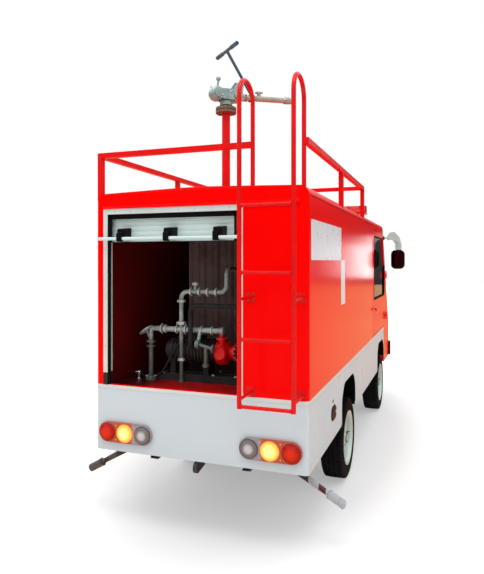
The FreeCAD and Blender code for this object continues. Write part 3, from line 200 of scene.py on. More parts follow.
def loop(points, bend, steps=5):
    """A closed path whose corners are turned into arcs."""
    points = [Vector(p) for p in points]
    path = []
    for before, point, after in zip(points[-1:] + points[:-1], points, points[1:] + points[:1]):
        path += arc(point + (before - point).normalized() * bend, point,
                    point + (after - point).normalized() * bend, steps)
    return path


def flat_loop(points, bend, steps=5):
    """The same for an outline of (across, up) points."""
    return [(p.x, p.y) for p in loop([(a, b, 0) for a, b in points], bend, steps)]


def sweep(bm, path, radius, sides=10, flat=1.0):
    """A round or flattened bar along a path."""
    rings = []
    u = None
    for k, point in enumerate(path):
        ahead = (path[min(k + 1, len(path) - 1)] - path[max(k - 1, 0)]).normalized()
        u = axes_of(ahead)[0] if u is None else (u - ahead * u.dot(ahead)).normalized()
        v = ahead.cross(u)
        rings.append([bm.verts.new(point + u * a + v * (b * flat)) for a, b in circle(sides, radius)])
    for one, two in zip(rings, rings[1:]):
        skin(bm, one, two)
    bm.faces.new(rings[0][::-1])
    bm.faces.new(rings[-1])


def bead(bm, path, out, wide, high, sides=10):
    """A closed rubber bead, an oval that is wide across its path and high along one direction."""
    out = Vector(out).normalized()
    rings = []
    for k, point in enumerate(path):
        across = (path[(k + 1) % len(path)] - path[k - 1]).normalized().cross(out).normalized()
        rings.append([bm.verts.new(point + across * (wide * a) + out * (high * b)) for a, b in circle(sides)])
    for one, two in zip(rings, rings[1:] + rings[:1]):
        skin(bm, one, two)


def rounded_outline(width, height, radius, steps=5):
    """(across, up) points of a rectangle with round corners."""
    points = []
    for cx, cy, start in ((1, 1, 0), (-1, 1, 90), (-1, -1, 180), (1, -1, 270)):
        for k in range(steps + 1):
            a = math.radians(start + 90 * k / steps)
            points.append((cx * (width / 2 - radius) + radius * math.cos(a),
                           cy * (height / 2 - radius) + radius * math.sin(a)))
    return points


def strip_outline(width, height):
    """(across, up) points of a plain rectangle."""
    return [(-width / 2, -height / 2), (width / 2, -height / 2), (width / 2, height / 2),
            (-width / 2, height / 2)]


def plate(bm, outline, centre, across, up, thick):
    """A flat plate from an outline, standing off its centre by its thickness."""
    out = across.cross(up).normalized() * thick
    low = [bm.verts.new(Vector(centre) + across * a + up * b) for a, b in outline]
    top = [bm.verts.new(v.co + out) for v in low]
    bm.faces.new(low[::-1])
    bm.faces.new(top)
    skin(bm, low, top)


def band(bm, outer, inner, centre, across, up, thick):
    """A flat frame between two outlines with as many points."""
    out = across.cross(up).normalized() * thick
    loops = [[bm.verts.new(Vector(centre) + across * a + up * b + lift) for a, b in line]
             for line, lift in ((outer, Vector()), (outer, out), (inner, out), (inner, Vector()))]
    for one, two in zip(loops, loops[1:] + loops[:1]):
        skin(bm, one, two)


def as_mesh(name, bm):
    """The mesh of what has been drawn."""
    mesh = bpy.data.meshes.new(name)
    bm.to_mesh(mesh)
    bm.free()
    return mesh


def placed(name, data):
    """Makes an object of its data and puts it in the scene."""
    obj = bpy.data.objects.new(name, data)
    bpy.context.scene.collection.objects.link(obj)
    return obj


def piece(name, bm, finish, slot=None, body="truck", bevel=0.0, crease=35.0):
    """Makes the mesh a piece that rides on a body; the slot it is given is not used."""
    slot = slot or finish
    bmesh.ops.recalc_face_normals(bm, faces=bm.faces)
    mesh = as_mesh(name, bm)
    mesh.materials.append(LOOK[finish])
    mesh.shade_smooth()
    mesh.set_sharp_from_angle(angle=math.radians(crease))
    obj = placed(name, mesh)
    if bevel:
        edge = obj.modifiers.new("bevel", "BEVEL")
        edge.width = bevel
        edge.segments = 2
        edge.limit_method = "ANGLE"
        edge.angle_limit = math.radians(40)
        edge.harden_normals = True
    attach(obj, body)
    return obj


# ------------------------------------------------------------------ finishes
def node(tree, kind, props=None, **sockets):
    """Adds a shader node; sockets are named with _ for a space, and take values or other outputs."""
    made = tree.nodes.new("ShaderNode" + kind)
    for key, value in (props or {}).items():
        setattr(made, key, value)
    for key, value in sockets.items():
        socket = made.inputs[key.replace("_", " ")]
        if isinstance(value, bpy.types.NodeSocket):
            tree.links.new(value, socket)
        else:
            socket.default_value = value
    return made


def mix(tree, factor, a, b):
    """Mixes two colours, given as RGB or as outputs."""
    made = tree.nodes.new("ShaderNodeMix")
    made.data_type = "RGBA"
    for socket, value in ((made.inputs[0], factor), (made.inputs[6], a), (made.inputs[7], b)):
        if isinstance(value, bpy.types.NodeSocket):
            tree.links.new(value, socket)
        elif isinstance(value, (tuple, list)):
            socket.default_value = (*value, 1.0)
        else:
            socket.default_value = value
    return made.outputs[2]


def spread(tree, value, low, high, to_low=0.0, to_high=1.0):
    """A value carried over from one range to another, held at its ends."""
    return node(tree, "MapRange", Value=value, From_Min=low, From_Max=high, To_Min=to_low,
                To_Max=to_high).outputs[0]


def sums(tree, how, a, b=0.0):
    """One step of arithmetic on values or outputs."""
    made = tree.nodes.new("ShaderNodeMath")
    made.operation = how
    for socket, value in zip(made.inputs, (a, b)):
        if isinstance(value, bpy.types.NodeSocket):
            tree.links.new(value, socket)
        else:
            socket.default_value = value
    return made.outputs[0]


class Finish:
    """A surface with two tones in soft clouds, uneven gloss, fine bump, worn edges and road dust."""

    def __init__(self, name, colour, shade, rough, metal=0.0, cloud=2.5):
        self.name = name
        self.mat = bpy.data.materials.new(name)
        self.mat.use_nodes = True
        self.tree = self.mat.node_tree
        self.bsdf = self.tree.nodes["Principled BSDF"]
        self.place = node(self.tree, "TexCoord").outputs["Object"]
        self.clouds = node(self.tree, "TexNoise", {"noise_dimensions": "4D"}, Vector=self.place, W=0.0,
                           Scale=cloud, Detail=6.0, Roughness=0.6).outputs[0]
        self.colour = mix(self.tree, spread(self.tree, self.clouds, 0.35, 0.68), colour, shade)
        self.rough = spread(self.tree, self.clouds, 0.3, 0.7, rough[0], rough[1])
        self.heights = []
        self.bsdf.inputs["Metallic"].default_value = metal

    def grain(self, size, depth, stretch=(1, 1, 1)):
        """Fine bump with grains of about that size, longer along a stretched axis."""
        at = node(self.tree, "Mapping", Vector=self.place, Scale=stretch).outputs[0]
        made = node(self.tree, "TexNoise", Vector=at, Scale=1 / size, Detail=3.0).outputs[0]
        return self.pattern(made, depth)

    def pattern(self, made, depth):
        """A node's output as bump."""
        self.heights.append((made, depth))
        return self

    def worn(self, colour, radius=0.004, amount=0.75):
        """Paint rubbed through along edges and corners."""
        soft = node(self.tree, "Bevel", {"samples": 4}, Radius=radius).outputs[0]
        plain = node(self.tree, "NewGeometry").outputs["Normal"]
        same = node(self.tree, "VectorMath", {"operation": "DOT_PRODUCT"})
        self.tree.links.new(soft, same.inputs[0])
        self.tree.links.new(plain, same.inputs[1])
        edge = spread(self.tree, same.outputs["Value"], 0.985, 0.9)
        chips = node(self.tree, "TexNoise", Vector=self.place, Scale=90.0, Detail=4.0).outputs[0]
        here = sums(self.tree, "MULTIPLY", edge, spread(self.tree, chips, 0.5, 0.6, 0.0, amount))
        self.colour = mix(self.tree, here, self.colour, colour)
        return self

    def dusty(self, top, low, amount=0.5, colour=(0.42, 0.38, 0.33)):
        """Road dust that thickens from height top down to height low."""
        height = node(self.tree, "SeparateXYZ", Vector=self.place).outputs[2]
        fall = spread(self.tree, height, top, low)
        specks = node(self.tree, "TexNoise", Vector=self.place, Scale=22.0, Detail=8.0).outputs[0]
        here = sums(self.tree, "MULTIPLY", fall, spread(self.tree, specks, 0.35, 0.75, 0.15, amount))
        self.colour = mix(self.tree, here, self.colour, colour)
        self.rough = sums(self.tree, "MAXIMUM", self.rough, sums(self.tree, "MULTIPLY", here, 0.9))
        return self

    def where(self, mask, colour, rough=None):
        """Another colour where the mask is 1."""
        self.colour = mix(self.tree, mask, self.colour, colour)
        if rough is not None:
            other = sums(self.tree, "MULTIPLY", mask, rough)
            rest = sums(self.tree, "SUBTRACT", 1.0, mask)
            self.rough = sums(self.tree, "ADD", other, sums(self.tree, "MULTIPLY", rest, self.rough))
        return self

    def glow(self, mask, edge, middle):
        """Colour of the light it gives, from where the mask is 0 to where it is 1."""
        self.tree.links.new(mix(self.tree, mask, edge, middle), self.bsdf.inputs["Emission Color"])

    def axis(self, index, size=False):
        """Place along X, Y or Z, or its size without the sign."""
        value = node(self.tree, "SeparateXYZ", Vector=self.place).outputs[index]
        return sums(self.tree, "ABSOLUTE", value) if size else value

    def step(self, value, at, soft=0.0005):
        """0 below a place and 1 above it, or the reverse where soft is negative."""
        return spread(self.tree, value, at - soft, at + soft)

    def settle(self, kept_as=None, **sockets):
        """Sets constants on the shader, joins the nodes and keeps the material under that name or its own."""
        for key, value in sockets.items():
            self.bsdf.inputs[key.replace("_", " ")].default_value = value
        self.tree.links.new(self.colour, self.bsdf.inputs["Base Color"])
        self.tree.links.new(self.rough, self.bsdf.inputs["Roughness"])
        normal = node(self.tree, "Bevel", {"samples": 4}, Radius=0.0025).outputs[0]
        for height, depth in self.heights:
            normal = node(self.tree, "Bump", Height=height, Distance=depth, Normal=normal).outputs[0]
        self.tree.links.new(normal, self.bsdf.inputs["Normal"])
        LOOK[kept_as or self.name] = self.mat


def weave(finish, size, depth):
    """Crossing threads as bump."""
    rows = []
    for axis in ("Y", "Z"):
        wave = node(finish.tree, "TexWave", {"bands_direction": axis}, Vector=finish.place,
                    Scale=0.5 / size / math.pi * 1.6, Distortion=0.3)
        rows.append(wave.outputs["Fac"])
    return finish.pattern(sums(finish.tree, "MAXIMUM", *rows), depth)


STEEL = (0.55, 0.56, 0.57)
BARE = (0.33, 0.32, 0.31)


def finishes():
    """One finish for each material slot of the record."""
    body, sides = (Finish(name, (0.86, 0.0015, 0.001), (0.82, 0.001, 0.001), (0.14, 0.2), cloud=1.2)
                   for name in ("red_body", "red_sides"))
    body.dusty(BELT + 0.1, 0.60, 0.10, (0.45, 0.035, 0.025))
    body.grain(0.004, 0.00002).settle(Specular_IOR_Level=0.04)
    # painted shade: the inner faces of the box sides are painted dark red for the shade inside the bay
    painted_shade_inside = sides.step(sides.axis(1, True), HALF - 0.020, -0.0005)
    sides.where(painted_shade_inside, (0.11, 0.003, 0.003), 0.6)
    sides.grain(0.004, 0.00002).settle(Specular_IOR_Level=0.1)
    skirt = Finish("white_skirt", (0.53, 0.57, 0.59), (0.51, 0.55, 0.57), (0.25, 0.34), cloud=1.5)
    skirt.dusty(0.66, 0.50, 0.14, (0.36, 0.36, 0.36))
    skirt.grain(0.004, 0.00002).settle(Specular_IOR_Level=0.02)
    trim = Finish("trim_cream", (0.62, 0.62, 0.60), (0.55, 0.55, 0.53), (0.3, 0.4))
    trim.grain(0.002, 0.00003).settle()
    tube = Finish("red_tube", (0.70, 0.002, 0.002), (0.56, 0.002, 0.002), (0.25, 0.35), cloud=7.0)
    tube.worn(BARE, 0.003, 0.25).grain(0.005, 0.00006).settle(Specular_IOR_Level=0.2)
    rail = Finish("red_rail", (0.74, 0.002, 0.002), (0.62, 0.002, 0.002), (0.3, 0.4), cloud=7.0)
    rail.worn(BARE, 0.003, 0.3).grain(0.005, 0.00006).settle(Specular_IOR_Level=0.14)
    black = Finish("chassis_black", (0.018, 0.018, 0.019), (0.03, 0.029, 0.028), (0.42, 0.6), cloud=9.0)
    black.dusty(0.75, 0.1, 0.2, (0.28, 0.28, 0.28)).worn(BARE, 0.003, 0.3)
    black.grain(0.003, 0.0001).settle(Specular_IOR_Level=0.15)
    battery = Finish("battery_grey", (0.20, 0.21, 0.22), (0.16, 0.17, 0.18), (0.4, 0.5), cloud=6.0)
    battery.dusty(0.6, 0.15, 0.5).grain(0.0015, 0.00015).settle()
    floor = Finish("floor_red", (0.34, 0.003, 0.004), (0.22, 0.002, 0.003), (0.38, 0.55), cloud=8.0)
    # painted shade: the bay floor is painted near black towards its left side
    floor.where(floor.step(floor.axis(1), 0.40, 0.08), (0.03, 0.001, 0.001))
    floor.worn(BARE, 0.004, 0.4).grain(0.006, 0.0003).settle(Specular_IOR_Level=0.2)
    rubber = Finish("tyre_rubber", (0.0025, 0.0025, 0.0025), (0.005, 0.005, 0.005), (0.6, 0.8), cloud=14.0)
    rubber.dusty(0.6, 0.0, 0.04, (0.10, 0.10, 0.10))
    rubber.grain(0.0015, 0.0001).settle(Specular_IOR_Level=0.02)
    rim = Finish("rim_silver", (0.55, 0.67, 0.65), (0.47, 0.58, 0.56), (0.3, 0.42), metal=0.25, cloud=12.0)
    rim.dusty(0.45, 0.05, 0.2).worn(BARE, 0.002, 0.3).grain(0.001, 0.00003).settle()
    alu = Finish("alu", (0.66, 0.73, 0.71), (0.56, 0.63, 0.61), (0.28, 0.4), metal=0.25, cloud=5.0)
    stop = sums(alu.tree, "MULTIPLY", alu.step(alu.axis(2), FLOOR + 0.095, -0.0005),
                alu.step(alu.axis(1), 0.5))
    alu.where(stop, (0.015, 0.015, 0.015), 0.6)
    alu.grain(0.0012, 0.00002, (1, 1, 0.05)).settle()
    slats = Finish("alu_slats", (0.58, 0.71, 0.70), (0.53, 0.66, 0.65), (0.34, 0.42), metal=0.05, cloud=3.0)
    slats.grain(0.0012, 0.00002, (1, 0.04, 1)).settle()
    tank = Finish("tank_paint", (0.12, 0.085, 0.078), (0.05, 0.034, 0.031), (0.42, 0.55), cloud=5.0)
    tank.grain(0.01, 0.0004, (1, 1, 0.25)).settle(Specular_IOR_Level=0.25)
    pump = Finish("pump_red", (0.86, 0.006, 0.007), (0.66, 0.004, 0.005), (0.3, 0.45), cloud=16.0)
    pump.worn(BARE, 0.003, 0.5).grain(0.003, 0.0002).settle(Specular_IOR_Level=0.3)
    pipe = Finish("steel_pipe", (0.38, 0.45, 0.42), (0.15, 0.19, 0.18), (0.2, 0.4), metal=0.2, cloud=26.0)
    # painted shade: the pipes are painted darker below the manifold, where the lower bay lies in shadow
    painted_shade_below = pipe.step(pipe.axis(2), MANIFOLD_Z - 0.07, -0.04)
    pipe.where(sums(pipe.tree, "MULTIPLY", painted_shade_below, 0.75), (0.035, 0.045, 0.042), 0.35)
    spangle = node(pipe.tree, "TexVoronoi", Vector=pipe.place, Scale=120.0).outputs["Distance"]
    pipe.pattern(spangle, 0.00015).settle()
    brown = Finish("flange_brown", (0.21, 0.13, 0.09), (0.13, 0.08, 0.055), (0.4, 0.6), metal=0.5, cloud=30.0)
    brown.worn(STEEL, 0.002, 0.6).grain(0.002, 0.0002).settle()
    handle = Finish("handle_slate", (0.055, 0.125, 0.18), (0.035, 0.085, 0.13), (0.3, 0.42), metal=0.15,
                    cloud=18.0)
    handle.worn(STEEL, 0.002, 0.3).grain(0.002, 0.00006).settle(Specular_IOR_Level=0.3)
    hose = Finish("hose_black", (0.016, 0.016, 0.017), (0.03, 0.03, 0.03), (0.4, 0.55), cloud=20.0)
    hose.grain(0.002, 0.0002).settle(Specular_IOR_Level=0.08)
    cast = Finish("monitor_paint", (0.30, 0.42, 0.40), (0.19, 0.28, 0.27), (0.3, 0.45), metal=0.35,
                  cloud=22.0)
    cast.worn(STEEL, 0.003, 0.6).grain(0.0025, 0.00025).settle()
    bronze = Finish("barrel_bronze", (0.42, 0.40, 0.34), (0.31, 0.29, 0.25), (0.25, 0.38), metal=0.4,
                    cloud=20.0)
    bronze.grain(0.0012, 0.00003).settle()


def from_middle(finish, across, low, high):
    """Runs from 0 to 1 between two distances from a lens middle, the same on both sides."""
    spot = node(finish.tree, "CombineXYZ", X=0.0, Y=finish.axis(1, True), Z=finish.axis(2)).outputs[0]
    away = node(finish.tree, "VectorMath", {"operation": "DISTANCE"})
    finish.tree.links.new(spot, away.inputs[0])
    away.inputs[1].default_value = (0.0, across, LENS_Z)
    return spread(finish.tree, away.outputs["Value"], low, high)


def clear_finishes():
    """Glass, lenses, plastics and cloth."""
    amber = Finish("lens_amber", (0.95, 0.32, 0.02), (0.9, 0.24, 0.01), (0.1, 0.16))
    amber.glow(from_middle(amber, LENS_Y[1], LENS_R, LENS_R * 0.25), (1.0, 0.11, 0.003), (1.0, 0.80, 0.30))
    amber.settle(Emission_Strength=1.35)
    red = Finish("lens_red_lamp", (0.30, 0.003, 0.003), (0.18, 0.002, 0.002), (0.08, 0.14), cloud=40.0)
    red.glow(from_middle(red, LENS_Y[2], LENS_R * 0.95, LENS_R * 0.3), (0.10, 0.0, 0.0), (1.0, 0.035, 0.003))
    red.settle("lens_tail", Emission_Strength=0.5, Specular_IOR_Level=0.3)
    clear = Finish("lens_clear", (0.70, 0.69, 0.70), (0.60, 0.59, 0.60), (0.04, 0.08), cloud=40.0)
    # painted highlight: the lens is painted light in its middle and dark grey further out
    clear.where(from_middle(clear, LENS_Y[0], LENS_R * 0.3, LENS_R * 0.62), (0.20, 0.17, 0.18), 0.1)
    clear.where(from_middle(clear, LENS_Y[0], LENS_R * 0.85, LENS_R * 0.98), (0.06, 0.05, 0.052), 0.2)
    clear.settle(Transmission_Weight=0.3)
    smoke = Finish("tail_smoke", (0.22, 0.20, 0.21), (0.32, 0.29, 0.30), (0.12, 0.2), cloud=30.0)
    warm = smoke.step(smoke.axis(1, True), (LENS_Y[0] + LENS_Y[1]) / 2 + 0.012, 0.012)
    smoke.where(warm, (0.40, 0.07, 0.035), 0.15)
    smoke.grain(0.004, 0.00008).settle("lamp_mix")
    head = Finish("lamp_clear", (0.72, 0.74, 0.76), (0.6, 0.62, 0.64), (0.03, 0.06), cloud=20.0)
    head.settle(Transmission_Weight=0.8)
    beacon = Finish("beacon", (0.62, 0.004, 0.003), (0.46, 0.003, 0.002), (0.1, 0.16), cloud=9.0)
    beacon.where(beacon.step(beacon.axis(2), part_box("light_bar")[0].z + 0.052, -0.0005), (0.35, 0.01, 0.01),
                 0.4)
    beacon.settle("lens_red", Emission_Color=(0.9, 0.01, 0.005, 1), Emission_Strength=0.06)
    glass = Finish("glass_tint", (0.10, 0.12, 0.12), (0.08, 0.098, 0.098), (0.01, 0.03), cloud=2.0)
    glass.settle(Transmission_Weight=0.9, IOR=1.25, Specular_IOR_Level=0.25)
    rubber = Finish("rubber_black", (0.004, 0.004, 0.004), (0.008, 0.008, 0.008), (0.5, 0.65), cloud=30.0)
    rubber.grain(0.0012, 0.00008).settle(Specular_IOR_Level=0.06)
    plastic = Finish("plastic_black", (0.003, 0.003, 0.0035), (0.007, 0.007, 0.0075), (0.3, 0.42), cloud=30.0)
    plastic.grain(0.0016, 0.0001).settle(Specular_IOR_Level=0.04)
    mirror = Finish("mirror_plastic", (0.006, 0.007, 0.007), (0.012, 0.013, 0.013), (0.28, 0.4), cloud=14.0)
    arm = mirror.step(mirror.axis(2), MIRROR_TOP + 0.002)
    foot = mirror.step(mirror.axis(1, True), HALF + 0.012)
    mirror.where(sums(mirror.tree, "MULTIPLY", arm, foot), (0.44, 0.52, 0.47), 0.3)
    mirror.grain(0.002, 0.00008).settle(Specular_IOR_Level=0.05)
    cloth = Finish("seat_cloth", (0.055, 0.058, 0.062), (0.085, 0.088, 0.094), (0.85, 0.95), cloud=70.0)
    weave(cloth, 0.0016, 0.0002)
    cloth.settle(Sheen_Weight=0.35, Sheen_Roughness=0.5)
    dash = Finish("dash_grey", (0.06, 0.062, 0.065), (0.08, 0.082, 0.085), (0.5, 0.62), cloud=12.0)
    dash.grain(0.0018, 0.00018).settle()
    stalk = Finish("marker_lamp", (0.012, 0.012, 0.012), (0.02, 0.02, 0.02), (0.4, 0.5), cloud=30.0)
    along = spread(stalk.tree, stalk.axis(1, True), MARKER_ROOT, MARKER_TIP)
    for start, colour, rough in ((0.30, (0.30, 0.31, 0.33), 0.3), (0.49, (0.055, 0.004, 0.005), 0.3),
                                 (0.62, (0.34, 0.36, 0.39), 0.15), (0.985, (0.62, 0.66, 0.70), 0.1)):
        stalk.where(stalk.step(along, start, 0.004), colour, rough)
    # painted shade: past its root the left marker lamp is painted near black, a shadow that the right one
    # does not get
    painted_shade_left = sums(stalk.tree, "MULTIPLY", stalk.step(along, 0.22, 0.004), stalk.step(stalk.axis(1), 0.0))
    stalk.where(sums(stalk.tree, "MULTIPLY", painted_shade_left, 0.88), (0.02, 0.018, 0.019), 0.3)
    stalk.grain(0.002, 0.00006).settle("marker")
    bolt = Finish("zinc", (0.58, 0.62, 0.60), (0.42, 0.46, 0.44), (0.25, 0.42), metal=0.3, cloud=60.0)
    bolt.grain(0.001, 0.00003).settle()
    chrome = Finish("chrome", (0.75, 0.76, 0.77), (0.66, 0.67, 0.68), (0.05, 0.1), metal=1.0, cloud=10.0)
    chrome.settle()
    lining = Finish("lining", (0.38, 0.37, 0.35), (0.33, 0.32, 0.31), (0.8, 0.9), cloud=30.0)
    lining.grain(0.002, 0.0002).settle()
    strap = Finish("webbing", (0.02, 0.02, 0.021), (0.03, 0.03, 0.031), (0.7, 0.8), cloud=60.0)
    weave(strap, 0.0012, 0.0002)
    strap.settle(Sheen_Weight=0.2)
    sign = Finish("sign_white", (0.74, 0.72, 0.74), (0.70, 0.67, 0.70), (0.25, 0.32), cloud=6.0)
    sign.grain(0.003, 0.00002).settle()
    silver = Finish("mirror_glass", (0.04, 0.045, 0.05), (0.03, 0.035, 0.04), (0.01, 0.03), metal=1.0,
                    cloud=3.0)
    silver.settle()


# -------------------------------------------------------------------- wheels
def tread(y, turn, half):
    """How deep the tread is cut at a place across and round the tyre."""
    share = abs(y) / half
    if min(abs(share - 0.20), abs(share - 0.56)) < 0.035:
        return TREAD_DEPTH
    slot = (turn * 64 + (0.5 if y > 0 else 0.0)) % 1.0
    if share > 0.60 and slot < 0.22:
        return TREAD_DEPTH * 0.9
    if 0.24 < share < 0.52 and (slot + 0.5) % 1.0 < 0.12:
        return TREAD_DEPTH * 0.6
    return 0.0


def tyre(tag):
    """A road tyre with five ribs, cross slots, rounded shoulders and ringed side walls."""
    low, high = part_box("tyre_" + tag)
    radius, half = (high.z - low.z) / 2 - 0.0004, (high.y - low.y) / 2
    side = [(-0.87, RIM_R), (-0.93, RIM_R + 0.008), (-0.955, RIM_R + 0.022), (-0.985, RIM_R + 0.04),
            (-1.0, RIM_R + 0.052), (-1.0, RIM_R + 0.056), (-0.985, RIM_R + 0.058), (-0.98, RIM_R + 0.078),
            (-0.965, RIM_R + 0.08), (-0.945, RIM_R + 0.09), (-0.90, RIM_R + 0.1), (-0.86, radius - 0.005)]
    crown = [0.80, 0.70, 0.612, 0.6, 0.594, 0.526, 0.52, 0.44, 0.36, 0.28, 0.236, 0.23, 0.17, 0.164, 0.08]
    across = [(s, radius - 0.004 * s * s) for s in [-v for v in crown] + [0.0] + crown[::-1]]
    profile = side + across + [(-s, r) for s, r in side[::-1]]
    steps = 256
    bm = bmesh.new()
    rings = []
    for k, (up, ahead) in enumerate(circle(steps)):
        ring = []
        for share, r in profile:
            turn = (k / steps + 0.018 * (abs(share) - 0.3)) % 1.0
            deep = tread(share * half, turn, half) if abs(share) < 0.87 else 0.0
            ring.append(bm.verts.new(((r - deep) * ahead, share * half, (r - deep) * up)))
        rings.append(ring)
    for one, two in zip(rings, rings[1:] + rings[:1]):
        skin(bm, one, two)
    bmesh.ops.translate(bm, verts=bm.verts, vec=(low + high) / 2)
    made = piece("tread_tyre_" + tag, bm, "tyre_rubber", body="wheel_" + tag, crease=28)
    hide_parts("tyre_" + tag)


def wheel_trim(tag):
    """Six wheel nuts on their studs, rivets round the rim, two rings and a valve stem."""
    centre = WHEELS[tag]
    side = 1 if centre.y > 0 else -1
    out = LEFT * side
    bm = bmesh.new()
    for a, b in circle(6, 0.081):
        spot = centre + Vector((a, side * 0.022, b))
        hexagon(bm, spot, out, 0.021, 0.017, 0.014)
        lathe(bm, [(0.016, 0), (0.016, 0.0065), (0.023, 0.0065), (0.0245, 0.005), (0.0245, 0)], spot, out, 12)
    for a, b in circle(16, 0.198, 0.5):
        dome(bm, centre + Vector((a, side * 0.0405, b)), out, 0.004, 0.002, 8)
    piece("wheel_nuts_" + tag, bm, "zinc", "rim_silver", body="wheel_" + tag)
    bm = bmesh.new()
    lathe(bm, [(0.0705, 0.045), (0.0765, 0.0425), (0.0765, 0.036), (0.0715, 0.0335)], centre, out, 40)
    lathe(bm, [(0.030, 0.0605), (0.033, 0.0605), (0.035, 0.057), (0.034, 0.0545)], centre, out, 40)
    foot = centre + Vector((0.150, side * 0.047, 0.0))
    path = [foot, foot + Vector((0.008, side * 0.010, 0)), foot + Vector((0.014, side * 0.026, 0))]
    sweep(bm, path, 0.0035, 8)
    piece("wheel_rings_" + tag, bm, "rubber_black", body="wheel_" + tag)


# ---------------------------------------------------------------- rear lamps
def lens(bm, spot, axis, radius, high, flutes=6, steps=48):
    """A shallow domed lens with ringed flutes, on a small rim."""
    profile = [(-0.004, radius), (0.0, radius)]
    for k in range(flutes * 4 + 1):
        t = k / (flutes * 4)
        r = radius * 0.97 * (1 - t)
        ripple = 0.0011 * (1 if k % 4 in (1, 2) else 0)
        profile.append((high * (1 - (r / radius) ** 2) - ripple * (t < 0.96), max(r, 0.0)))
    lathe(bm, profile, spot, axis, steps)


def tail_lamps():
    """Six lenses over silver bowls and bulbs, with screws on each lamp body."""
    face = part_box("tail_lamp_bodies")[0].x
    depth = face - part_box("tail_lenses")[0].x
    out = BEHIND
    bowls = bmesh.new()
    for kind, y in zip(("lens_clear", "lens_amber", "lens_tail"), LENS_Y):
        bm = bmesh.new()
        for side in (1, -1):
            spot = Vector((face, side * y, LENS_Z))
            lens(bm, spot + out * 0.004, out, LENS_R, depth - 0.0045)
            lathe(bowls, [(0.0005, LENS_R * 0.94), (0.003, LENS_R * 0.9), (0.0012, LENS_R * 0.4),
                          (0.004, 0.012),
                          (0.010, 0.010), (0.013, 0.005), (0.0135, 0)], spot, out, 32)
        made = piece(kind.replace("lens", "lamp_glass"), bm, kind, "lamp_mix", crease=50)
        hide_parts("tail_lenses")
    piece("lamp_bowls", bowls, "chrome", "rim_silver")
    bm = bmesh.new()
    for side in (1, -1):
        for y in (LENS_Y[0] - 0.054, (LENS_Y[0] + LENS_Y[1]) / 2, (LENS_Y[1] + LENS_Y[2]) / 2,
                  LENS_Y[2] + 0.054):
            for up in ((-0.048, 0.048) if LENS_Y[0] < y < LENS_Y[2] else ()):
                dome(bm, Vector((face, side * y, LENS_Z + up)), out, 0.0045, 0.003, 10)
    piece("lamp_screws", bm, "zinc", "rim_silver")


# ------------------------------------------------------- shutter and pump bay
def shutter_trim():
    """Rubber lip and seals of the curtain, and rivets in its guides."""
    low = CURTAIN[0]
    frame_low, frame_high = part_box("shutter_frame")
    bm = bmesh.new()
    y0, y1 = frame_low.y + 0.036, frame_high.y - 0.036
    x = back(0.020)
    block(bm, (x - 0.007, y0, low.z - 0.002), (x + 0.007, y1, low.z + 0.002))
    piece("curtain_lip", bm, "rubber_black", bevel=0.001)
    seals = bmesh.new()
    face = REAR + 0.006
    for y, into in ((y0, 1), (y1, -1)):
        for far, foot, top in ((SEAL_WIDE, low.z + 0.001, SEAL_TOP),
                               (0.009, frame_low.z + 0.001, low.z + 0.001)):
            inner = y + into * far
            block(seals, (face, min(y, inner), foot), (face + 0.003, max(y, inner), top))
        mouth, wall = y - into * 0.002, y - into * 0.0005
        block(seals, (face - 0.010, min(mouth, wall), frame_low.z + 0.001),
              (face + 0.028, max(mouth, wall), SEAL_TOP))
    block(seals, (face, y0, SEAL_TOP - 0.033), (face + 0.0031, y1, SEAL_TOP))
    for k in range(9):
        z = SEAL_TOP - 0.003 - 0.0033 * k
        block(seals, (face - 0.0012, y0 + 0.002, z - 0.0006), (face + 0.001, y1 - 0.002, z + 0.0006))
    piece("shutter_seals", seals, "rubber_black")
    bm = bmesh.new()
    rivets = [(y, frame_low.z + 0.10 + 0.165 * k)
              for y in (frame_low.y + 0.017, frame_high.y - 0.017) for k in range(7)]
    rivets += [(frame_low.y + 0.09 + (frame_high.y - frame_low.y - 0.18) * k / 7, frame_high.z - 0.018)
               for k in range(8)]
    for y, z in rivets:
        dome(bm, (frame_low.x + 0.0002, y, z), BEHIND, 0.0055, 0.0022, 12)
    piece("guide_rivets", bm, "zinc", "alu")


def hook_blocks():
    """Three blocks with a hooked tongue round the lift bar, narrower than the solids they stand for."""
    low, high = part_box("lift_brackets")
    x, z = low.x + 0.016, low.z + 0.020
    grip = [(x + BAR_R * math.cos(a), z + BAR_R * math.sin(a))
            for a in [math.radians(270 - 15 * k) for k in range(13)]]
    body = [(high.x, z + 0.014), (x + 0.004, z + 0.014), (x - 0.002, z + 0.017), (x - 0.004, z + 0.023),
            (x - 0.004, z + 0.056), (x - 0.001, z + 0.063), (x + 0.006, z + 0.067), (high.x, high.z)]
    hook = [(high.x, z + 0.040), (low.x + 0.010, z + 0.040), (low.x + 0.002, z + 0.036), (low.x, z + 0.028),
            (low.x, z - 0.009), (low.x + 0.002, z - 0.017), (low.x + 0.010, z - 0.020),
            (x + 0.006, z - 0.020), (x + 0.006, z - BAR_R)]
    hook += grip + [(x + 0.012, z + BAR_R), (high.x, z + 0.012)]
    for tag, step in (("left", 1), ("middle", 0), ("right", -1)):
        y = (low.y + high.y) / 2 + step * HOOK_PITCH + HOOK_WIDE / 2
        bm = bmesh.new()
        plate(bm, body, (0, y, 0), AHEAD, UP, HOOK_WIDE)
        plate(bm, hook, (0, y + 0.0002, 0), AHEAD, UP, 0.040)
        made = piece("hook_block_" + tag, bm, "plastic_black", bevel=0.0015)
        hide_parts("lift_brackets")


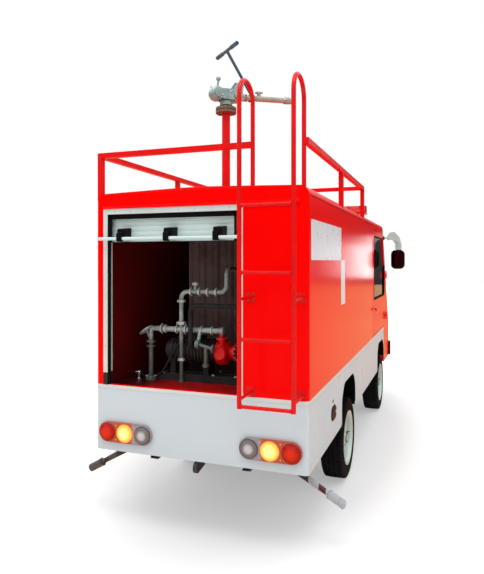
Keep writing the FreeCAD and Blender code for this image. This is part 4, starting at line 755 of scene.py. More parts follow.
def pipe_nuts():
    """Union nuts on the pipes, and bolts round the gate valve and the flange on the floor."""
    x, z = PIPE_X, MANIFOLD_Z
    nuts = bmesh.new()
    for y, wide in ((0.400, 0.064), (0.372, 0.053), (0.282, 0.053), (0.210, 0.064), (0.090, 0.053),
                    (0.010, 0.053)):
        hexagon(nuts, (x, y - 0.0052, z), LEFT, wide, 0.0104)
    for y in (0.170, 0.106, 0.042, -0.022):
        hexagon(nuts, (x, y - 0.007, 1.600), LEFT, 0.053, 0.014)
    for z0, wide in ((z + 0.037, 0.062), (1.524, 0.053), (1.108, 0.043)):
        hexagon(nuts, (x, 0.246, z0), UP, wide, 0.018)
    hexagon(nuts, (x, 0.138, 1.647), UP, 0.039, 0.017)
    for z0 in (1.232, 1.198):
        for a, b in circle(6, 0.026):
            hexagon(nuts, (x + a, DROP_Y + b, z0), UP, 0.008, 0.010)
    for a, b in circle(8, 0.034, 0.5):
        hexagon(nuts, (x + a, DROP_Y + b, FLOOR + 0.024), UP, 0.008, 0.006)
    piece("pipe_nuts", nuts, "zinc", "steel_pipe", bevel=0.0005)


def pump_bolts():
    """Bolts round the volute, on the motor's feet and on its terminal box."""
    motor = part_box("pump_motor")
    bolts = bmesh.new()
    for a, b in circle(10, 0.052):
        hexagon(bolts, (PUMP_X + a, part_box("pump_volute")[0].y, PUMP_Z + b), RIGHT, 0.010, 0.007, 0.008)
    for side in (-1, 1):
        for y in (motor[0].y + 0.03, motor[0].y + 0.20, motor[1].y - 0.03):
            hexagon(bolts, (PUMP_X + side * 0.070, y, FLOOR + 0.050), UP, 0.014, 0.009, 0.012)
    for dx in (-0.042, 0.042):
        for y in (0.130, 0.290):
            dome(bolts, (PUMP_X + dx, y, motor[1].z), UP, 0.0045, 0.003, 10)
    piece("pump_bolts", bolts, "zinc", "steel_pipe", bevel=0.0004)


def motor_cable():
    """The motor's lead, from a gland on its terminal box down to the bay floor."""
    bm = bmesh.new()
    x, low = PUMP_X - 0.092, FLOOR + 0.010
    gland = (PUMP_X - 0.050, 0.24, 1.262)
    path = smooth_path([gland, (PUMP_X - 0.085, 0.24, 1.262), (x, 0.30, 1.20), (x, 0.40, 1.02),
                        (x, 0.47, low + 0.002), (PUMP_X - 0.03, 0.62, low), (PUMP_X + 0.09, 0.66, low)], 0.06)
    sweep(bm, path, 0.0085, 12)
    lathe(bm, [(0, 0.014), (0.012, 0.014), (0.016, 0.011), (0.028, 0.010)], gland, BEHIND, 16)
    piece("motor_cable", bm, "hose_black")


def drain_valve():
    """A short valve in the bay floor with its flat lever."""
    bm = bmesh.new()
    spot = Vector((PIPE_X, 0.590, FLOOR))
    lathe(bm, [(0, 0.030), (0.008, 0.030), (0.008, 0.016), (0.030, 0.016), (0.030, 0.020), (0.044, 0.020),
               (0.048, 0.014), (0.048, 0)], spot, UP, 24)
    sweep(bm, smooth_path([spot + Vector((0, -0.01, 0.048)), spot + Vector((-0.01, 0.02, 0.050)),
                           spot + Vector((-0.02, 0.095, 0.044))], 0.02), 0.006, 8, 0.5)
    piece("drain_valve", bm, "chrome", "steel_pipe")


# ---------------------------------------------------------- ladder and rails
def ladder_trim():
    """Weld beads at the rungs and bolts on the standoff plates."""
    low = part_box("ladder")[0]
    welds = bmesh.new()
    bolts = bmesh.new()
    for k in range(4):
        z = low.z + 0.012 + RUNG_PITCH * k
        for y, side in zip(STILES, (1, -1)):
            lathe(welds, [(0, 0.0152), (0.002, 0.0158), (0.005, 0.0135), (0.006, 0.0115)],
                  (low.x + 0.014, y + side * 0.0118, z), LEFT * side, 20)
    for z in (low.z + 0.052, low.z + 0.012 + 1.6 * RUNG_PITCH):
        for y in (-0.700, STILES[1]):
            for dz in (-0.021, 0.021):
                for dy in (-0.019, 0.019):
                    hexagon(bolts, (REAR - 0.006, y + dy, z + dz), BEHIND, 0.009, 0.005, 0.007)
    piece("ladder_welds", welds, "red_tube", crease=60)
    piece("ladder_bolts", bolts, "red_tube", bevel=0.0004)


# -------------------------------------------------------------- body's trim
def signs():
    """A blank board and a white stripe on the right side."""
    bm = bmesh.new()
    y = -HALF - 0.0004
    low, high = (back(0.062), 1.822), (back(1.078), 2.074)
    middle = ((low[0] + high[0]) / 2, y, (low[1] + high[1]) / 2)
    board = rounded_outline(high[0] - low[0], high[1] - low[1], 0.012)
    plate(bm, board, middle, AHEAD, UP, 0.002)
    piece("blank_board", bm, "sign_white", "trim_cream", bevel=0.0006)
    bm = bmesh.new()
    outline = [(back(1.082), 1.475), (back(1.262), 1.475), (back(1.246), 1.822), (back(1.070), 1.822)]
    plate(bm, outline, (0, y, 0), AHEAD, UP, 0.0006)
    piece("white_stripe", bm, "sign_white", "trim_cream")


def side_lock():
    """A round lock over the charge lid."""
    lid_low, lid_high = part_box("charge_lid")
    bm = bmesh.new()
    spot = ((lid_low.x + lid_high.x) / 2 - 0.018, -HALF, lid_high.z + 0.043)
    lathe(bm, [(0, 0.012), (0.003, 0.012), (0.0045, 0.010), (0.0045, 0.0065), (0.003, 0.006), (0.003, 0)],
          spot, RIGHT, 24)
    piece("side_lock", bm, "flange_brown", "rim_silver")


def stage_and_light():
    """A pale floor whose shade is partly its own glow, under a white sky that darkens at the horizon,
    with one high fill behind and two narrow strips far ahead."""
    bm = bmesh.new()
    bmesh.ops.create_grid(bm, x_segments=2, y_segments=2, size=40)
    pale = Finish("studio_floor", (0.93, 0.93, 0.93), (0.91, 0.91, 0.912), (0.8, 0.9), cloud=0.4)
    path = node(pale.tree, "LightPath")
    # painted reflection: the floor shows FLOOR_MIRRORED only to reflections
    through = sums(pale.tree, "SUBTRACT", path.outputs["Is Glossy Ray"], path.outputs["Is Transmission Ray"])
    pale.where(sums(pale.tree, "MAXIMUM", through, 0.0), FLOOR_MIRRORED)
    pale.where(path.outputs["Is Camera Ray"], (0.46, 0.46, 0.46))
    wide = node(pale.tree, "Mapping", Vector=pale.place, Scale=(1.0, 2.2, 1.0)).outputs[0]
    away = node(pale.tree, "VectorMath", {"operation": "LENGTH"})
    pale.tree.links.new(wide, away.inputs[0])
    lit = spread(pale.tree, away.outputs["Value"], 2.3, 5.0, 0.37, 1.0)
    lit = sums(pale.tree, "MULTIPLY", lit, path.outputs["Is Camera Ray"])
    pale.tree.links.new(lit, pale.bsdf.inputs["Emission Color"])
    pale.settle(Specular_IOR_Level=0.1, Emission_Strength=1.0)
    ground = placed("studio_floor", as_mesh("studio_floor", bm))
    ground.data.materials.append(LOOK["studio_floor"])
    for name, place, target, power, wide, tall in (("rear_fill", (-5.9, -1.5, 11.0), (-2, 0, 1.4), 470, 5.0,
                                                    4.0),
                                                   ("strip_near", (12.0, -2.28, 1.95), (0, -0.8, 1.8), 5,
                                                    0.16, 1.3),
                                                   ("strip_far", (12.0, -2.62, 1.85), (0, -0.8, 1.8), 7, 0.20,
                                                    1.0)):
        lamp = bpy.data.lights.new(name, "AREA")
        lamp.energy = power
        lamp.shape = "RECTANGLE"
        lamp.size, lamp.size_y = wide, tall
        holder = placed(name, lamp)
        holder.location = place
        holder.rotation_euler = (Vector(place) - Vector(target)).to_track_quat("Z", "Y").to_euler()
    world = bpy.data.worlds.new("studio")
    bpy.context.scene.world = world
    world.use_nodes = True
    tree = world.node_tree
    sky = tree.nodes["Background"]
    sky.inputs["Color"].default_value = (1, 1, 1, 1)
    away = node(tree, "SeparateXYZ", Vector=node(tree, "TexCoord").outputs["Generated"]).outputs
    level = sums(tree, "MULTIPLY", spread(tree, away[2], 0.10, 0.36, 0.05, SKY_TOP),
                 spread(tree, away[1], -1.0, 1.0, 0.88, 1.08))
    seen = node(tree, "LightPath").outputs["Is Camera Ray"]
    rest = sums(tree, "MULTIPLY", sums(tree, "SUBTRACT", 1.0, seen), level)
    tree.links.new(sums(tree, "ADD", seen, rest), sky.inputs["Strength"])
    bpy.context.scene.view_settings.view_transform = "Standard"


def camera():
    """Stands behind and to the right of the truck, level with the top of its door glass."""
    made = bpy.data.cameras.new("camera")
    made.lens = EYE_LENS
    made.sensor_width = 36
    made.shift_y = EYE_SHIFT
    holder = placed("camera", made)
    holder.location = EYE
    holder.rotation_euler = (math.radians(90), 0, math.radians(EYE_TURN))
    bpy.context.scene.camera = holder


# ------------------------------------------------------------ cab, outside
def on_screen(y, z, out=0.0):
    """A place on the windscreen's plane, or a little off it."""
    return Vector((SCREEN_FOOT[0] - (z - SCREEN_FOOT[1]) * SCREEN_SLOPE, y, z)) + SCREEN_OUT * out


def cab_glazing():
    """Rubbers round the windscreen and the door glass."""
    bm = bmesh.new()
    corners = [(-0.640, 1.300), (0.640, 1.300), (0.615, 2.165), (-0.615, 2.165)]
    for grown, wide, high in ((0.000, 0.011, 0.005), (-0.012, 0.006, 0.009)):
        ring = [on_screen(y + math.copysign(grown, y), z + (grown if z > 1.7 else -grown)) for y,
                z in corners]
        bead(bm, loop(ring, 0.105, 7), SCREEN_OUT, wide, high)
    piece("screen_rubber", bm, "rubber_black", crease=50)
    for side, body in ((1, "door_left"), (-1, "door_right")):
        low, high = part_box(body.replace("door", "door_glass"))
        bm = bmesh.new()
        ring = [(x, side * (HALF - 0.006), z) for x, z in ((low.x, low.z), (low.x, high.z), (1.706, high.z),
                                                          (high.x, 1.814), (high.x, low.z))]
        bead(bm, loop(ring, 0.052), LEFT * side, 0.009, 0.008)
        bead(bm, loop(ring, 0.052), LEFT * side, 0.006, 0.0095)
        block(bm, (low.x + 0.03, side * (HALF - 0.003), low.z - 0.007),
              (high.x - 0.03, side * (HALF + 0.003), low.z + 0.009))
        piece("glass_rubber_" + body[5:], bm, "rubber_black", body=body, crease=50)


def wipers():
    """Two wipers at rest low on the windscreen."""
    arms, blades = bmesh.new(), bmesh.new()
    for y, tip in ((0.42, 0.06), (-0.12, -0.48)):
        root = on_screen(y, 1.262, 0.004)
        lathe(arms, [(0, 0), (0, 0.017), (0.014, 0.015), (0.022, 0.009), (0.022, 0)], root, SCREEN_OUT, 16)
        elbow, end = on_screen(y - 0.03, 1.300, 0.024), on_screen(tip + 0.20, 1.385, 0.022)
        sweep(arms, [root + SCREEN_OUT * 0.014, elbow, end], 0.006, 8, 0.6)
        first, last = on_screen(tip + 0.43, 1.345, 0.003), on_screen(tip - 0.02, 1.420, 0.003)
        span, lift = last - first, SCREEN_OUT * 0.008
        sweep(blades, [first + span * k / 8 for k in range(9)], 0.005, 6, 0.5)
        sweep(arms, [first + span * 0.2 + lift, end, first + span * 0.8 + lift], 0.0045, 6, 0.6)
    piece("wiper_arms", arms, "plastic_black", bevel=0.0006)
    piece("wiper_blades", blades, "rubber_black")


def headlamps():
    """Bowls and housings behind the headlamp glass."""
    bowls, back_plates = bmesh.new(), bmesh.new()
    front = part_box("headlamps")[0].x
    for side in (1, -1):
        for y in (0.444, 0.537):
            spot = Vector((front - 0.012, side * y, HEADLAMP_Z))
            lathe(bowls, [(-0.042, 0.0), (-0.042, 0.010), (-0.036, 0.022), (-0.022, 0.034), (0.0, 0.041),
                          (0.004, 0.041), (0.004, 0.044), (-0.003, 0.044)], spot, AHEAD, 32)
            lathe(bowls, [(-0.040, 0.007), (-0.012, 0.007), (-0.008, 0.004), (-0.008, 0)], spot, AHEAD, 12)
        rim = rounded_outline(0.188, 0.110, 0.026)
        plate(back_plates, rim, (front - 0.060, side * 0.490, HEADLAMP_Z), LEFT, UP, 0.004)
        band(back_plates, rim, rounded_outline(0.180, 0.102, 0.022),
             (front - 0.058, side * 0.490, HEADLAMP_Z),
             LEFT, UP, 0.056)
    piece("lamp_reflectors", bowls, "chrome", "rim_silver", crease=60)
    piece("lamp_housings", back_plates, "plastic_black")


def nose_trim():
    """Fins in the grille and the washer jets under the windscreen."""
    fins = bmesh.new()
    for k in range(29):
        y = -0.294 + 0.021 * k
        block(fins, (NOSE - 0.036, y - 0.0022, 0.588), (NOSE - 0.026, y + 0.0022, 0.665))
    plate(fins, rounded_outline(0.616, 0.080, 0.018), (NOSE - 0.046, 0, 0.6265), LEFT, UP, 0.004)
    piece("grille_fins", fins, "plastic_black")
    jets = bmesh.new()
    for y in (0.30, -0.30):
        spot = on_screen(y, 1.243)
        lathe(jets, [(-0.002, 0.011), (0.004, 0.010), (0.009, 0.006), (0.010, 0.0025), (0.007, 0.002),
                     (0.007, 0)], spot,
              SCREEN_OUT, 14)
    piece("washer_jets", jets, "plastic_black")


def door_trim():
    """Inner cards with armrests, pulls and window cranks, lock barrels and hinge screws."""
    for side, body in ((1, "door_left"), (-1, "door_right")):
        tag = body[5:]
        y = side * 0.710
        bm = bmesh.new()
        card = [(0.780, 1.030), (1.900, 1.030), (1.900, 1.350), (0.780, 1.350)]
        plate(bm, flat_loop(card, 0.05), (0, y, 0), AHEAD, UP, side * 0.006)
        piece("door_card_" + tag, bm, "dash_grey", body=body, bevel=0.0015)
        rest = bmesh.new()
        inner = side * 0.650
        face = side * CARD_FACE
        block(rest, (1.02, min(inner, face), 1.185), (1.44, max(inner, face), 1.220))
        block(rest, (0.98, min(side * 0.688, face), 1.060), (1.52, max(side * 0.688, face), 1.150))
        piece("armrest_" + tag, rest, "dash_grey", body=body, bevel=0.008)
        bits = bmesh.new()
        spot = Vector((1.60, face, 1.262))
        plate(bits, rounded_outline(0.110, 0.050, 0.018), spot, AHEAD, UP, side * 0.004)
        sweep(bits, smooth_path([spot + Vector((-0.03, 0, 0)), spot + Vector((-0.03, -side * 0.018, 0)),
                                 spot + Vector((0.035, -side * 0.022, 0))], 0.012), 0.006, 8, 0.6)
        lathe(bits, [(0, 0.020), (0.008, 0.020), (0.010, 0.016), (0.010, 0)], (1.30, face, 1.268),
              LEFT * -side, 20)
        sweep(bits, smooth_path([(1.30, side * 0.692, 1.268), (1.30, side * 0.684, 1.268),
                                 (1.362, side * 0.680, 1.236),
                                 (1.362, side * 0.660, 1.236)], 0.008), 0.0055, 8)
        piece("door_pulls_" + tag, bits, "chrome", "rim_silver", body=body)
        bits = bmesh.new()
        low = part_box(body)[0]
        lathe(bits, [(0, 0.013), (0.003, 0.013), (0.0045, 0.010), (0.0045, 0.0045), (0.003, 0.004),
                     (0.003, 0)],
              (low.x + 0.032, side * HALF, 1.273), LEFT * side, 20)
        for z in (1.110, 1.640):
            for dx in (0.048, 0.028):
                for dz in (-0.019, 0.019):
                    dome(bits, (HINGE_X - dx, side * (HALF + 0.009), z + dz), LEFT * side, 0.0058, 0.003, 12)
        piece("door_bolts_" + tag, bits, "zinc", "rim_silver", body=body)


# ------------------------------------------------------------- cab, inside
def dash_face():
    """Screen, vents, buttons, glove box and the two round dials without marks."""
    face, tilt = Vector((1.9336, 0, 1.240)), Vector((0.214, 0, -0.977))
    dark, grey = bmesh.new(), bmesh.new()

    def at(y, down):
        return face + tilt * down + Vector((0, y, 0))

    plate(dark, rounded_outline(0.240, 0.120, 0.012), at(0.0, 0.075), LEFT, tilt, -0.006)
    for y in (-0.56, -0.27, 0.20, 0.60):
        band(dark, rounded_outline(0.120, 0.070, 0.014), rounded_outline(0.106, 0.056, 0.009), at(y, 0.048),
             LEFT, tilt, -0.006)
        for k in range(4):
            plate(dark, strip_outline(0.106, 0.0036), at(y, 0.029 + 0.0125 * k), LEFT, tilt, -0.004)
    for k in range(5):
        plate(dark, rounded_outline(0.030, 0.022, 0.004), at(-0.080 + 0.040 * k, 0.155), LEFT, tilt, -0.005)
    band(grey, rounded_outline(0.400, 0.150, 0.02), rounded_outline(0.392, 0.142, 0.017), at(-0.45, 0.185),
         LEFT, tilt, -0.003)
    plate(grey, rounded_outline(0.070, 0.022, 0.008), at(-0.45, 0.130), LEFT, tilt, -0.007)
    cluster = Vector((1.9480, 0.370, 1.300))
    rise = Vector((0.217, 0, 0.976))
    for y in (-0.062, 0.062):
        lathe(dark, [(0.0, 0.044), (0.008, 0.046), (0.008, 0.042), (0.002, 0.040), (0.002, 0.0)],
              cluster + Vector((0, y, 0)), (-0.976, 0, 0.217), 32)
    plate(dark, rounded_outline(0.280, 0.080, 0.015), cluster, LEFT, rise, 0.0015)
    piece("dash_controls", dark, "plastic_black", bevel=0.0006)
    piece("glove_box", grey, "dash_grey", bevel=0.0006)


def pedals():
    """Three pedals with ribbed pads, the column's two stalks and the brake lever's arm."""
    metal, pads = bmesh.new(), bmesh.new()
    sole = Vector((0.35, 0, 0.94)).normalized()
    for y, wide in ((0.275, 0.060), (0.390, 0.075), (0.505, 0.050)):
        foot = Vector((1.905, y, 1.060))
        sweep(metal, smooth_path([Vector((1.975, y, 1.130)), Vector((1.93, y, 1.120)),
                                  foot + Vector((0.008, 0, 0))], 0.03),
              0.007, 8)
        plate(pads, rounded_outline(wide, 0.085, 0.01), foot, LEFT, sole, -0.008)
        for k in range(5):
            plate(pads, strip_outline(wide * 0.84, 0.004),
                  foot + sole * (0.014 * (k - 2)) - Vector((0.0075, 0, 0)), LEFT, sole, -0.003)
    for side in (1, -1):
        start = WHEEL_HUB - COLUMN * 0.045 + Vector((0, side * 0.020, 0))
        sweep(metal, smooth_path([start, start + Vector((0, side * 0.080, 0)) + COLUMN * 0.006,
                                  start + Vector((0, side * 0.150, 0)) + COLUMN * 0.012], 0.03), 0.0055, 8)
    sweep(metal, smooth_path([(1.50, -0.050, 1.070), (1.47, -0.050, 1.130), (1.36, -0.050, 1.190)], 0.03),
          0.008, 10)
    piece("pedal_arms", metal, "chassis_black")
    piece("pedal_pads", pads, "rubber_black", bevel=0.001)


def console_and_levers():
    """The console between the seats, its gear knob and the brake lever's grip."""
    console = bmesh.new()
    plate(console, [(1.34, FLOOR), (1.72, FLOOR), (1.70, FLOOR + 0.145), (1.60, FLOOR + 0.165),
                    (1.36, FLOOR + 0.105)],
          (0, 0.085, 0), AHEAD, UP, 0.17)
    piece("cab_console", console, "dash_grey", bevel=0.014)
    knob = bmesh.new()
    lathe(knob, [(0, 0.034), (0.010, 0.032), (0.022, 0.026), (0.030, 0.014), (0.045, 0.0075), (0.085, 0.0065),
                 (0.092, 0.014), (0.108, 0.020), (0.124, 0.018), (0.134, 0.010), (0.136, 0)],
          (1.62, 0.030, FLOOR + 0.155), (-0.1, 0, 1), 24)
    lathe(knob, [(0.0, 0.012), (0.012, 0.0145), (0.085, 0.0135), (0.105, 0.009), (0.107, 0)],
          (1.372, -0.050, 1.184), (-0.878, 0, 0.479), 20)
    piece("cab_levers", knob, "plastic_black", crease=50)


def cab_linings():
    """A ribbed mat, the head lining with two visors, and the mirror inside the screen."""
    mat = bmesh.new()
    plate(mat, flat_loop([(1.34, -0.690), (1.93, -0.690), (1.93, 0.690), (1.34, 0.690)], 0.05),
          (0, 0, FLOOR), AHEAD, LEFT, 0.004)
    for side in (1, -1):
        for k in range(16):
            y = side * 0.40 - 0.225 + 0.030 * k
            block(mat, (1.38, y - 0.003, FLOOR + 0.004), (1.88, y + 0.003, FLOOR + 0.0065))
    piece("floor_mat", mat, "rubber_black")
    lining = bmesh.new()
    plate(lining, flat_loop([(0.668, -0.690), (1.66, -0.670), (1.66, 0.670), (0.668, 0.690)], 0.08),
          (0, 0, 2.240), AHEAD, LEFT, 0.008)
    for side in (1, -1):
        spot = on_screen(side * 0.34, 2.035, -0.085)
        plate(lining, rounded_outline(0.40, 0.155, 0.035), spot, LEFT, SCREEN_UP, 0.016)
        sweep(lining, [spot + SCREEN_UP * 0.070 + Vector((0, side * 0.19, 0)),
                       on_screen(side * 0.585, 2.120, -0.060)], 0.005, 8)
    piece("head_lining", lining, "lining", "dash_grey", bevel=0.003)
    glass = bmesh.new()
    spot = on_screen(0.0, 2.000, -0.105)
    plate(glass, rounded_outline(0.235, 0.060, 0.026), spot, LEFT, UP, -0.016)
    sweep(glass, smooth_path([spot + Vector((0.012, 0, 0.005)), spot + Vector((0.030, 0, 0.055)),
                              on_screen(0, 2.120, -0.030)],
                             0.02), 0.006, 8)
    piece("cab_mirror", glass, "plastic_black", bevel=0.004)


def steering_trim():
    """A ribbed grip on the wheel's rim and a pad on its boss."""
    u, v, w = axes_of(COLUMN)
    centre = WHEEL_HUB + COLUMN * 0.046
    bm = bmesh.new()
    rings = []
    for k, (a, b) in enumerate(circle(144)):
        out = u * a + v * b
        r = 0.0148 - (0.0010 if k % 4 == 0 else 0.0)
        rings.append([bm.verts.new(centre + out * (0.188 + r * c) + w * (r * d)) for c, d in circle(12)])
    for one, two in zip(rings, rings[1:] + rings[:1]):
        skin(bm, one, two)
    lathe(bm, [(0.050, 0.0), (0.050, 0.046), (0.056, 0.050), (0.062, 0.048), (0.068, 0.038), (0.071, 0.020),
               (0.072, 0)],
          WHEEL_HUB, COLUMN, 32)
    lathe(bm, [(0.0715, 0.021), (0.0735, 0.019), (0.0735, 0)], WHEEL_HUB, COLUMN, 24)
    piece("wheel_grip", bm, "dash_grey", "plastic_black", body="steering_wheel", crease=50)


# ------------------------------------------------------------------- seats
def swelled(obj):
    """Blows a form up as cloth, holding each point near where it began."""
    scene = bpy.context.scene
    rest = [v.co.copy() for v in obj.data.vertices]
    cloth = obj.modifiers.new("cloth", "CLOTH")
    cloth.settings.use_pressure = True
    cloth.settings.uniform_pressure_force = CLOTH_PRESSURE
    cloth.settings.effector_weights.gravity = 0.0
    cloth.point_cache.frame_start, cloth.point_cache.frame_end = 1, CLOTH_FRAMES
    for k in range(1, CLOTH_FRAMES + 1):
        scene.frame_set(k)
    deps = bpy.context.evaluated_depsgraph_get()
    after = [v.co.copy() for v in obj.evaluated_get(deps).data.vertices]
    obj.modifiers.remove(cloth)
    scene.frame_set(1)
    for v, was, now in zip(obj.data.vertices, rest, after):
        move = now - was
        v.co = was + (move.normalized() * min(move.length, CLOTH_REACH) if move.length > 1e-9 else move)


def pad(name, outline, y0, y1, seams, round_by=0.03, grow=0.010):
    """A stuffed cushion on a side outline, with sewn channels where seams asks for them."""
    middle = sum((Vector((x, 0, z)) for x, z in outline), Vector()) / len(outline)
    path = loop([(x, 0, z) for x, z in outline], round_by, 4)
    bm = bmesh.new()
    plate(bm, [(p.x + (middle.x - p.x) * grow * 3, p.z + (middle.z - p.z) * grow * 3) for p in path],
          (0, y1 - grow, 0), AHEAD, UP, y1 - y0 - 2 * grow)
    bmesh.ops.recalc_face_normals(bm, faces=bm.faces)
    mesh = as_mesh(name, bm)
    obj = placed(name, mesh)
    grid = obj.modifiers.new("grid", "REMESH")
    grid.mode = "VOXEL"
    grid.voxel_size = 0.010
    bpy.context.view_layer.update()
    deps = bpy.context.evaluated_depsgraph_get()
    obj.data = bpy.data.meshes.new_from_object(obj.evaluated_get(deps))
    obj.data.name = name
    obj.modifiers.remove(grid)
    bpy.data.meshes.remove(mesh)
    swelled(obj)
    soft = bmesh.new()
    soft.from_mesh(obj.data)
    for _ in range(3):
        bmesh.ops.smooth_vert(soft, verts=soft.verts, factor=0.5, use_axis_x=True, use_axis_y=True,
                              use_axis_z=True)
    soft.normal_update()
    for v in soft.verts:
        v.co -= v.normal * seams(v.co, v.normal)
    soft.to_mesh(obj.data)
    soft.free()
    obj.data.materials.clear()
    obj.data.materials.append(LOOK["seat_cloth"])
    obj.data.shade_smooth()
    form = obj.modifiers.new("form", "SUBSURF")
    form.levels = form.render_levels = 1
    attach(obj, "truck")
    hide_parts("seats")


def groove(distance, deep, wide=0.009):
    """How deep a soft channel is at a distance from its middle line."""
    return deep * math.exp(-(distance / wide) ** 2)


def seat_pads():
    """Two seats: cushion, back and head rest with sewn channels, on a steel base."""
    for side, tag in ((1, "left"), (-1, "right")):
        y0, y1 = sorted((side * 0.122, side * 0.618))
        middle = (y0 + y1) / 2

        def cushion_seams(p, n, middle=middle):
            if n.z < 0.3:
                return groove(p.z - 1.300, 0.004, 0.007)
            deep = max(groove(abs(p.y - middle) - 0.165, 0.010), groove(p.x - 1.215, 0.008))
            if abs(p.y - middle) < 0.165 and p.x < 1.215:
                deep = max(deep, max(groove(p.x - x, 0.007, 0.008) for x in (0.93, 1.01, 1.09, 1.15)))
            return deep

        def back_seams(p, n, middle=middle):
            if n.x < 0.3:
                return 0.0
            deep = max(groove(abs(p.y - middle) - 0.160, 0.010), groove(p.z - 1.770, 0.008))
            if abs(p.y - middle) < 0.160 and p.z < 1.770:
                deep = max(deep, max(groove(p.z - z, 0.007, 0.008) for z in (1.44, 1.52, 1.60, 1.68)))
            return deep

        pad("seat_cushion_" + tag, [(0.775, 1.245), (0.785, 1.330), (1.300, 1.362), (1.326, 1.305),
                                    (1.300, 1.245)],
            y0, y1, cushion_seams)
        pad("seat_back_" + tag, [(0.735, 1.345), (0.676, 1.860), (0.757, 1.872), (0.858, 1.375)], y0, y1,
            back_seams, 0.025)
        r0, r1 = sorted((side * 0.252, side * 0.488))
        pad("head_rest_" + tag, [(0.690, 1.880), (0.682, 2.018), (0.748, 2.026), (0.762, 1.880)], r0, r1,
            lambda p, n: groove(p.z - 1.990, 0.004) if n.x > 0.3 else 0.0, 0.022)
        base = bmesh.new()
        side_form = [(0.800, FLOOR + 0.030), (0.800, 1.236), (1.270, 1.236), (1.245, FLOOR + 0.030)]
        plate(base, side_form, (0, y1 - 0.012, 0), AHEAD, UP, y1 - y0 - 0.024)
        for y in (y0 + 0.05, y1 - 0.05):
            block(base, (0.780, y - 0.018, FLOOR), (1.290, y + 0.018, FLOOR + 0.014))
            block(base, (0.800, y - 0.012, FLOOR + 0.014), (1.265, y + 0.012, FLOOR + 0.032))
        for y in (middle - 0.055, middle + 0.055):
            sweep(base, [Vector((0.722, y, 1.845)), Vector((0.722, y, 1.895))], 0.006, 10)
        made = piece("seat_base_" + tag, base, "chassis_black", bevel=0.004)
        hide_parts("seats")
        belt(tag, side, middle)


def belt(tag, side, middle):
    """A seat belt's two straight lengths of webbing, with its guide, reel and buckle."""
    belts = bmesh.new()
    y = side * 0.700
    block(belts, (BELT_X - 0.024, y - WEBBING, 1.070), (BELT_X + 0.024, y + WEBBING, 1.800))
    inner = middle - side * 0.262
    block(belts, (0.985, inner - WEBBING, 1.150), (1.033, inner + WEBBING, 1.275))
    piece("belt_webbing_" + tag, belts, "webbing", "seat_cloth")
    fits = bmesh.new()
    plate(fits, rounded_outline(0.072, 0.034, 0.010), (BELT_X, y + side * 0.0012, 1.800), AHEAD, UP,
          side * 0.008)
    plate(fits, rounded_outline(0.074, 0.110, 0.016), (BELT_X, y + side * 0.004, 1.030), AHEAD, UP,
          side * 0.040)
    plate(fits, rounded_outline(0.054, 0.072, 0.010), (1.009, inner + 0.010, 1.300), AHEAD, UP, 0.020)
    piece("belt_fittings_" + tag, fits, "plastic_black", bevel=0.002)


# --------------------------------------------------------------- roof gear
def aimed(p):
    """From the monitor's own line, ahead and across its riser, to where it points at rest."""
    a = math.radians(MONITOR_AIM)
    return Vector((RISER.x + p[0] * math.cos(a) - p[1] * math.sin(a), p[0] * math.sin(a) + p[1] * math.cos(a),
                   p[2]))


def lifted(p):
    """The same for its barrel, tipped up about the trunnion."""
    t = math.radians(MONITOR_TILT)
    dx, dz = p[0] - TRUNNION, p[2] - MONITOR_Z
    return aimed((TRUNNION + dx * math.cos(t) - dz * math.sin(t), p[1],
                  MONITOR_Z + dx * math.sin(t) + dz * math.cos(t)))


